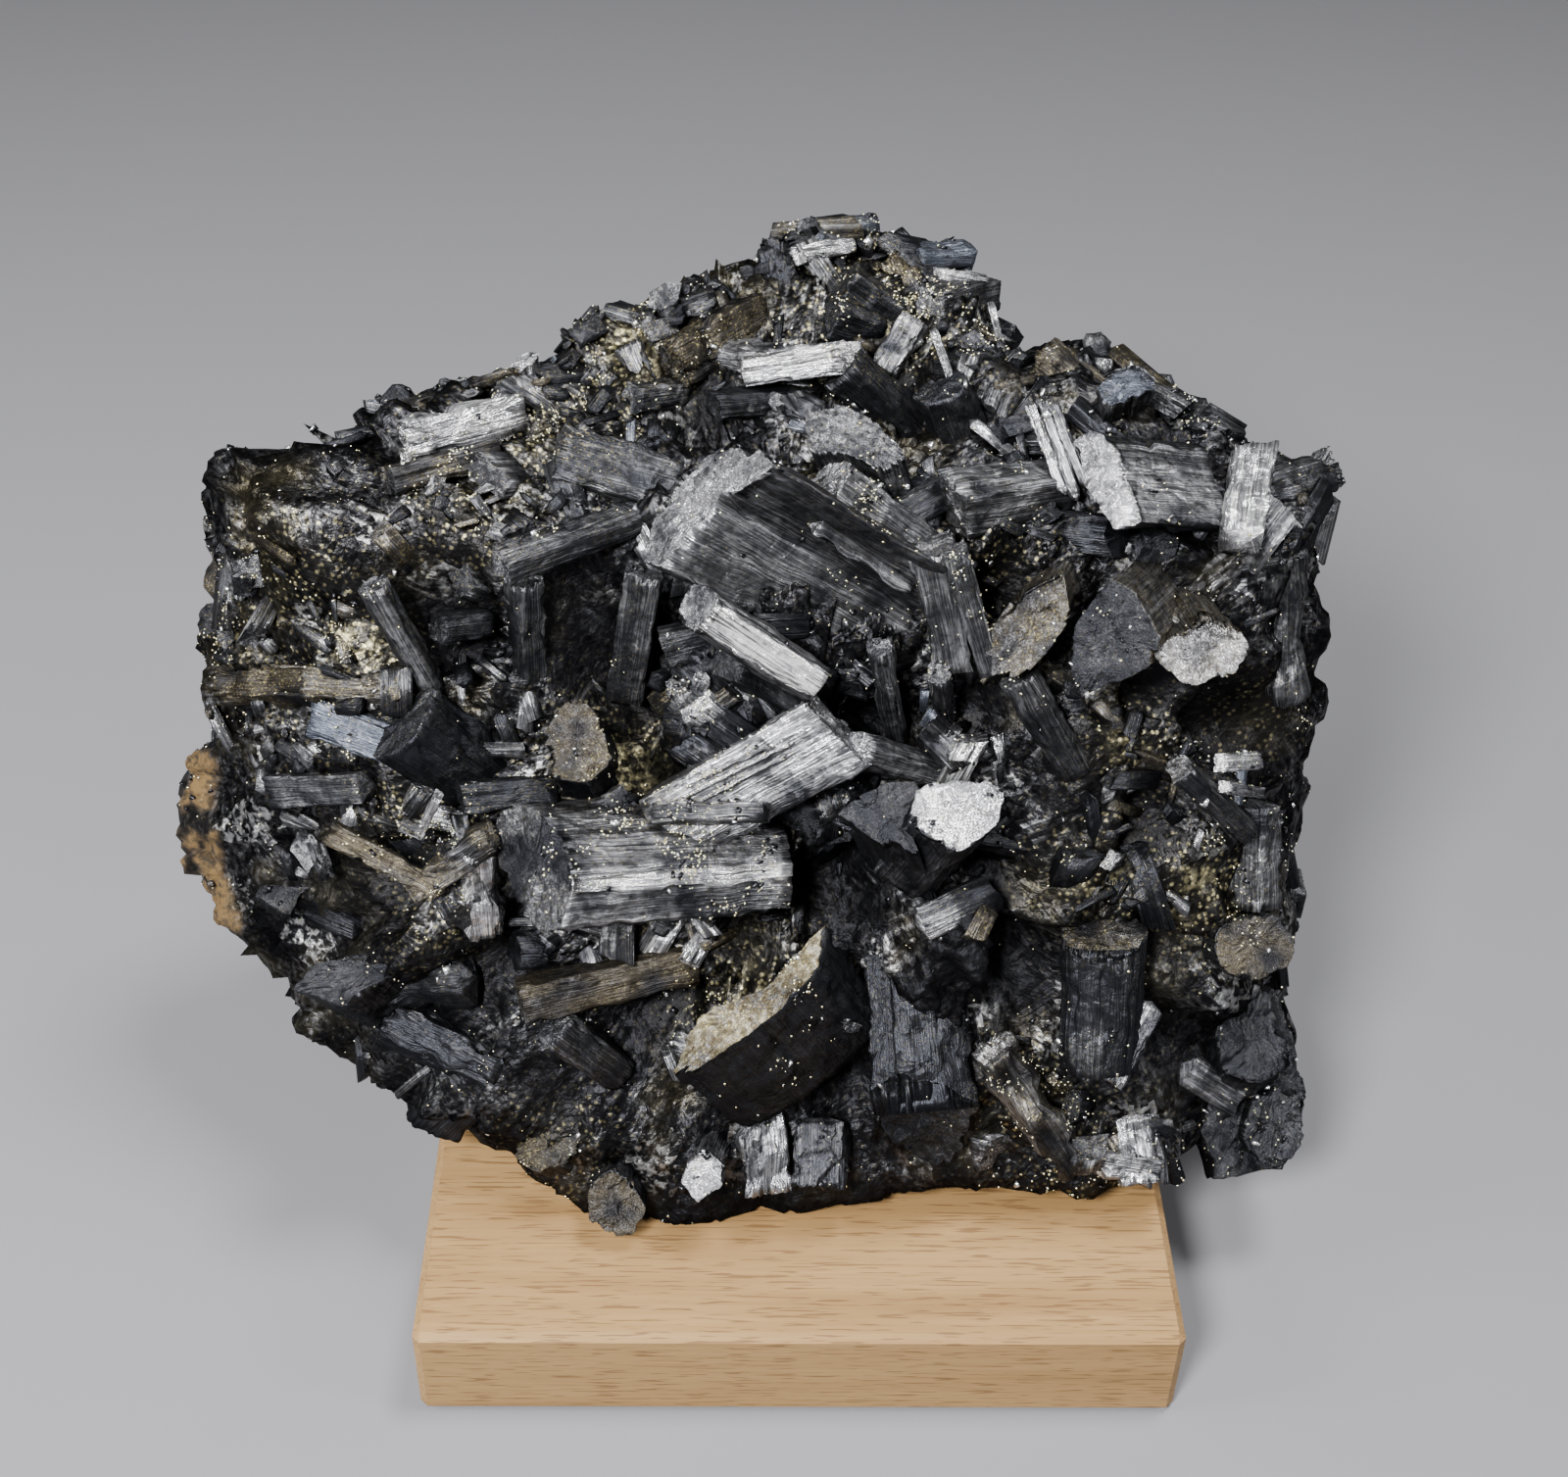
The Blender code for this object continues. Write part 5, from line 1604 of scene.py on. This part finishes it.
@dataclass(frozen=True)
class CrystalFinish:
    """Enargite's crystals: dark metal with lengthwise streaks and dull tarnish, with painted sheen and white
    highlights where the faces caught the light.
    """

    dark: Colour = (0.013, 0.013, 0.0150)
    sheen: Colour = (0.48, 0.48, 0.505)
    silver: Colour = (0.97, 0.97, 0.95)
    brown: Colour = (0.070, 0.056, 0.033)
    blue: Colour = (0.17, 0.195, 0.25)
    gold: Colour = (0.42, 0.35, 0.155)

    def material(self) -> bpy.types.Material:
        """Makes the material, which reads the grain and look of each crystal.

        Returns:
            The finished material.
        """
        paint = Paint("enargite_crystal")
        bright, gold, tarnish = paint.parts(paint.own("look"))
        place = paint.place()
        grain = paint.stretched(paint.own("grain"), (1.0, GRAIN_DRAW, 1.0))
        streaks = paint.noise(grain, 4.6, 4.0)
        wide_streaks = paint.noise(grain, 0.9, 2.0)
        grit = paint.noise(place, 900.0, 4.0)
        patches = paint.noise(place, 150.0, 3.0)
        clouds = paint.noise(place, 55.0, 3.0)
        # Painted sheen and highlights: the lit streaks and each face's brightness lighten the base towards
        # sheen and white, and creases break the painted highlight.
        lit = streaks.between(0.36, 0.68) * wide_streaks.between(0.3, 0.62)
        uneven = patches.between(0.3, 0.62) * 0.6 + clouds.between(0.35, 0.62) * 0.6 + 0.15
        gritty = grit.between(0.30, 0.62) * 0.45 + 0.65
        shine = (bright * (lit + 0.36) * uneven * gritty).clamped()
        base = paint.mix(shine.between(0.0, 0.55), self.dark, self.sheen)
        base = paint.mix((tarnish * -1.0).clamped() * 0.75, base, self.blue)
        base = paint.mix(tarnish.clamped() * patches.between(0.3, 0.6) * 0.8, base, self.brown)
        base = paint.mix(shine.between(0.45, 1.0), base, self.silver)
        creased = paint.noise(grain, 1.6, 4.0, 1.8).between(0.48, 0.42) * shine.between(0.28, 0.5)
        base = paint.mix(creased * 0.85, base, self.dark)
        specks = paint.noise(place, 2600.0, 2.0).between(0.56, 0.64) * patches.between(0.35, 0.55)
        coated = gold.between(0.6, 0.95) * clouds.between(0.35, 0.6) * patches.between(0.3, 0.5)
        dust = (gold * 1.3).clamped() * (specks * 0.8 + coated * 0.55)
        base = paint.mix(dust.clamped(), base, self.gold)
        base = paint.mix(gold.between(0.7, 1.0) * (1.0 - grit.between(0.38, 0.6)) * 0.8, base, self.brown)
        dull = 1.0 - shine.between(0.05, 0.5)
        roughness = grit * 0.18 + streaks * 0.10 + 0.04 + dull * 0.22 + tarnish.clamped() * 0.10
        flashing = paint.glitter(place, 700.0, 0.24)
        crinkled = paint.bump(paint.noise(place, 230.0, 3.0, 1.2), 0.45, 0.0011, flashing)
        ridged = paint.bump(streaks, 0.6, 0.0005, crinkled)
        normal = paint.bump(grit, 0.3, 0.0003, ridged)
        # Less metallic where the highlight is painted, so its white shows under any light.
        paint.set(Base_Color=base, Roughness=roughness.clamped(), Metallic=0.93 - shine * 0.16)
        paint.set(Normal=normal, Specular_Tint=DIM_EDGE)
        return paint.material


@dataclass(frozen=True)
class StoneFinish:
    """The dark stone between the crystals, dusted with gold, rusty on its left flank, with painted shade in
    its hollows and towards its foot, and painted glints.
    """

    black: Colour = (0.009, 0.009, 0.0105)
    grey: Colour = (0.58, 0.58, 0.61)
    silver: Colour = (0.85, 0.85, 0.84)
    olive: Colour = (0.10, 0.085, 0.045)
    gold: Colour = (0.62, 0.55, 0.30)
    rust: Colour = (0.115, 0.070, 0.026)
    rust_dark: Colour = (0.024, 0.018, 0.011)

    def material(self) -> bpy.types.Material:
        """Makes the material, which reads the body's gold, rust and painted shade values.

        Returns:
            The finished material.
        """
        paint = Paint("enargite_crust")
        gold, rust, painted_shade = paint.parts(paint.own("crust"))
        place = paint.place()
        lay = paint.own("lay")
        patches = paint.noise(place, 120.0, 4.0)
        grit = paint.noise(place, 800.0, 4.0)
        streaks = paint.noise(paint.drawn_along(place, lay, 0.94), 1100.0, 3.0)
        facet_tone, glint, _ = paint.parts(lay)
        # Painted shade darkens the tone and keeps tan, glints and dust away; below zero it marks the pale
        # places.
        unshaded = (1.0 - painted_shade * 1.1).clamped()
        grain = streaks.between(0.42, 0.68) * 0.8 + grit.between(0.4, 0.65) * 0.35
        pale = (painted_shade * -1.0).clamped()
        tone = grain * (facet_tone * 0.9 + 0.15) * patches.between(0.3, 0.62) * (0.5 - painted_shade * 0.65)
        tone = tone + pale * grit.between(0.35, 0.65) * 0.5
        base = paint.mix(tone.clamped() ** 1.5, self.black, self.grey)
        tanned = paint.noise(place, 60.0, 3.0).between(0.52, 0.7) * unshaded * (1.0 - pale)
        base = paint.mix((tanned * 0.3 + gold * patches * 0.2).clamped(), base, self.olive)
        # Painted glints: scattered cells, and the pale places, lightened towards white.
        flash = (glint.between(0.88, 0.95) * 0.3 + pale * 0.25) * grit.between(0.45, 0.6) * unshaded
        base = paint.mix(flash.clamped(), base, self.silver)
        specks = (1.0 - paint.cells(place, 950.0).between(0.15, 0.42)) * grit.between(0.35, 0.6)
        coated = gold.between(0.55, 1.0) * patches.between(0.40, 0.6) * grit.between(0.42, 0.6) * 0.6
        dusted = (specks * (gold * 1.1 + 0.04) + coated) * (unshaded * 0.8 + 0.2)
        base = paint.mix(dusted.clamped(), base, self.gold)
        earthy = paint.mix(patches.between(0.35, 0.6) * grit.between(0.3, 0.6), self.rust_dark, self.rust)
        rusted = rust.between(0.25, 0.6) * (patches.between(0.40, 0.55) * 0.85 + 0.15)
        base = paint.mix(rusted, base, earthy)
        roughness = (grit * 0.25 + 0.24 + painted_shade.clamped() * 0.22 + rusted * 0.4).clamped()
        crinkled = paint.bump(paint.noise(place, 200.0, 3.0, 1.2), 0.5, 0.0012)
        coarse = paint.glitter(place, 700.0, 0.38, crinkled)
        ridged = paint.bump(streaks, 0.5, 0.0005, coarse)
        normal = paint.bump(grit, 0.5, 0.0005, ridged)
        paint.set(Base_Color=base, Roughness=roughness, Metallic=(0.95 - rusted * 0.9).clamped())
        paint.set(Normal=normal, Specular_Tint=DIM_EDGE)
        return paint.material


@dataclass(frozen=True)
class PyriteFinish:
    """Bright brassy grains, some paler and some with a green cast."""

    pale: Colour = (0.86, 0.82, 0.62)
    brass: Colour = (0.60, 0.53, 0.30)
    green: Colour = (0.42, 0.55, 0.34)

    def material(self) -> bpy.types.Material:
        """Makes the material.

        Returns:
            The finished material.
        """
        paint = Paint("pyrite")
        tone, cast, _ = paint.parts(paint.own("look"))
        base = paint.mix(tone, self.brass, self.pale)
        base = paint.mix(cast.between(0.75, 1.0) * 0.6, base, self.green)
        rough = paint.noise(paint.place(), 3000.0, 2.0) * 0.2 + 0.18
        paint.set(Base_Color=base, Roughness=rough, Metallic=1.0)
        return paint.material


@dataclass(frozen=True)
class ChipFinish:
    """Flakes scattered as painted glints, from dark to bright."""

    dark: Colour = (0.03, 0.03, 0.034)
    silver: Colour = (0.85, 0.85, 0.86)

    def material(self) -> bpy.types.Material:
        """Makes the material, whose brightness each flake has of its own.

        Returns:
            The finished material.
        """
        paint = Paint("enargite_chips")
        tone, _, _ = paint.parts(paint.own("look"))
        base = paint.mix(tone.between(0.6, 0.95), self.dark, self.silver)
        rough = paint.noise(paint.place(), 1500.0, 2.0) * 0.25 + 0.15
        paint.set(Base_Color=base, Roughness=rough, Metallic=0.95)
        return paint.material


@dataclass(frozen=True)
class WoodFinish:
    """Sanded pale wood, grain along X, with short dark vessels."""

    light: Colour = (0.245, 0.150, 0.062)
    warm: Colour = (0.175, 0.099, 0.037)
    vessel: Colour = (0.095, 0.048, 0.018)

    def material(self) -> bpy.types.Material:
        """Makes the material from noise drawn out along the grain.

        Returns:
            The finished material.
        """
        paint = Paint("pale_wood")
        place = paint.place()
        long_grain = paint.stretched(place, (6.0, 90.0, 90.0))
        bands = paint.noise(long_grain, 1.0, 3.0, 0.6)
        fibres = paint.noise(paint.stretched(place, (40.0, 1500.0, 1500.0)), 1.0, 3.0)
        flecks = paint.noise(paint.stretched(place, (150.0, 2600.0, 2600.0)), 1.0, 1.0)
        base = paint.mix(bands.between(0.35, 0.7), self.light, self.warm)
        base = paint.mix(fibres.between(0.3, 0.7) * 0.4, base, self.warm)
        dark = flecks.between(0.57, 0.65)
        base = paint.mix(dark * 0.7, base, self.vessel)
        roughness = fibres * 0.15 + 0.48
        normal = paint.bump(fibres - dark, 0.25, 0.0002)
        paint.set(Base_Color=base, Roughness=roughness, Normal=normal, Specular_IOR_Level=0.2)
        return paint.material


@dataclass(frozen=True)
class FloorFinish:
    """A plain pale grey floor, darker to the back."""

    grey: Colour = (0.146, 0.145, 0.155)
    mottle: Colour = (0.12, 0.12, 0.128)
    shaded: Colour = (0.055, 0.054, 0.060)

    def material(self) -> bpy.types.Material:
        """Makes the material.

        Returns:
            The finished material.
        """
        paint = Paint("floor")
        place = paint.place()
        base = paint.mix(paint.noise(place, 60.0, 4.0) * 0.12, self.grey, self.mottle)
        base = paint.mix(paint.parts(place)[1].between(0.0, 1.1) * 0.8, base, self.shaded)
        paint.set(Base_Color=base, Roughness=0.85)
        return paint.material


@dataclass
class Studio:
    """The floor, the round soft lights (name, place, size, power) and the camera."""

    eye: Eye = field(default_factory=Eye)
    lights: tuple[tuple[str, Way, float, float], ...] = (
        ("key", (-0.26, -0.54, 0.62), 0.20, 22.0),
        ("left", (-0.80, -0.15, 0.50), 0.40, 8.0),
        ("right", (0.75, -0.20, 0.60), 0.30, 4.0),
        ("above", (0.20, 0.02, 0.95), 0.24, 12.0),
    )
    aim: Way = (0.0, 0.0, 0.07)
    floor_size: float = 6.0
    sky_colour: Colour = (0.80, 0.82, 0.86)
    sky: float = 0.24

    def build(self) -> None:
        """Sets everything up round the object."""
        half = self.floor_size / 2
        mesh = bpy.data.meshes.new("floor")
        corners = [(-half, -half, 0), (half, -half, 0), (half, half, 0), (-half, half, 0)]
        mesh.from_pydata(corners, [], [(0, 1, 2, 3)])
        mesh.materials.append(FloorFinish().material())
        floor = bpy.data.objects.new("floor", mesh)
        bpy.context.scene.collection.objects.link(floor)
        for name, place, size, power in self.lights:
            data = bpy.data.lights.new(name, "AREA")
            data.shape = "DISK"
            data.size = size
            data.energy = power
            light = bpy.data.objects.new(name, data)
            light.location = place
            way = Vector(self.aim) - Vector(place)
            light.rotation_euler = way.to_track_quat("-Z", "Y").to_euler()
            bpy.context.scene.collection.objects.link(light)
        world = bpy.data.worlds.new("studio")
        world.use_nodes = True
        backdrop = world.node_tree.nodes["Background"]
        backdrop.inputs["Color"].default_value = (*self.sky_colour, 1)
        backdrop.inputs["Strength"].default_value = self.sky
        bpy.context.scene.world = world
        self.eye.camera()


@dataclass
class Cluster:
    """The whole crystal cluster: body, large crystals, litter and pyrite."""

    form: StoneForm = field(default_factory=StoneForm)

    def grown(self) -> dict[str, Shape]:
        """Grows each group of crystals, from the largest to the smallest, by its piece's name."""
        form = self.form
        clean = [fragment for fragment in FRAGMENTS if not fragment.rough]
        rough = [fragment for fragment in FRAGMENTS if fragment.rough]
        broken, worn = growth_of_fragments(clean, form, 13), growth_of_fragments(rough, form, 14)
        great, lesser = growth_of(GREAT_CRYSTALS, form, 11), growth_of(LESSER_CRYSTALS, form, 12)
        blocks = Litter(form, 1700, (2.6, 7.0), (5.0, 14.0), (-1.6, 1.3), 31)
        splinters = Litter(form, 4500, (1.0, 2.8), (2.5, 8.0), (-0.6, 0.9), 32)
        groups = (
            ("broken_crystals", broken, Cut(104, 20, 9, 0.022, 0.0006, 0.0008)),
            ("worn_crystals", worn, Cut(104, 20, 12, 0.012, 0.0012, 0.0012)),
            ("lumps", growth_of(LUMPS, form, 15), Cut(72, 16, 9, 0.012, 0.0016, 0.0026)),
            ("great_crystals", great, Cut(80, 20, 5, 0.03, 0.0006, 0.0006)),
            ("lesser_crystals", lesser, Cut(60, 14, 5, 0.035, 0.0005, 0.0006)),
            ("small_blocks", blocks.growth(), Cut(24, 3, 2, 0.05, 0.0004)),
            ("splinters", splinters.growth(), Cut(6, 2, 0, 0.0, 0.0)),
        )
        return {name: growth.shape(cut) for name, growth, cut in groups}

    def build(self) -> None:
        """Builds every piece of the cluster."""
        crystal = CrystalFinish().material()
        carriers = [StoneBody(self.form).build(StoneFinish().material())]
        for name, shape in self.grown().items():
            shape.piece(name, crystal, SLOT, CLUSTER)
            carriers.append(shape)
        ground = joined(carriers)
        pyrite = Dust(self.form, 16000, (0.14, 0.38), 0.05, 1.0, 5).shape(ground)
        pyrite.piece("pyrite_grains", PyriteFinish().material(), "pyrite", CLUSTER)
        # Flakes scattered as painted glints.
        chips = Dust(self.form, 4200, (0.4, 1.2), 0.9, 0.35, 6).shape(ground)
        chips.piece("cleavage_chips", ChipFinish().material(), SLOT, CLUSTER)


@dataclass
class Block:
    """The wooden block, which keeps the frame's solid."""

    node: str = BLOCK

    def dress(self) -> None:
        """Gives the solid its wood."""
        wood = WoodFinish().material()
        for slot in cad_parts[self.node].material_slots:
            slot.material = wood
        LOG.info("%s: dressed", self.node)


def main() -> None:
    """Builds the specimen and the studio round it."""
    logging.basicConfig(level=logging.INFO, format="%(name)s %(message)s")
    Cluster().build()
    Block().dress()
    Studio().build()


if __name__ == "__main__":
    main()
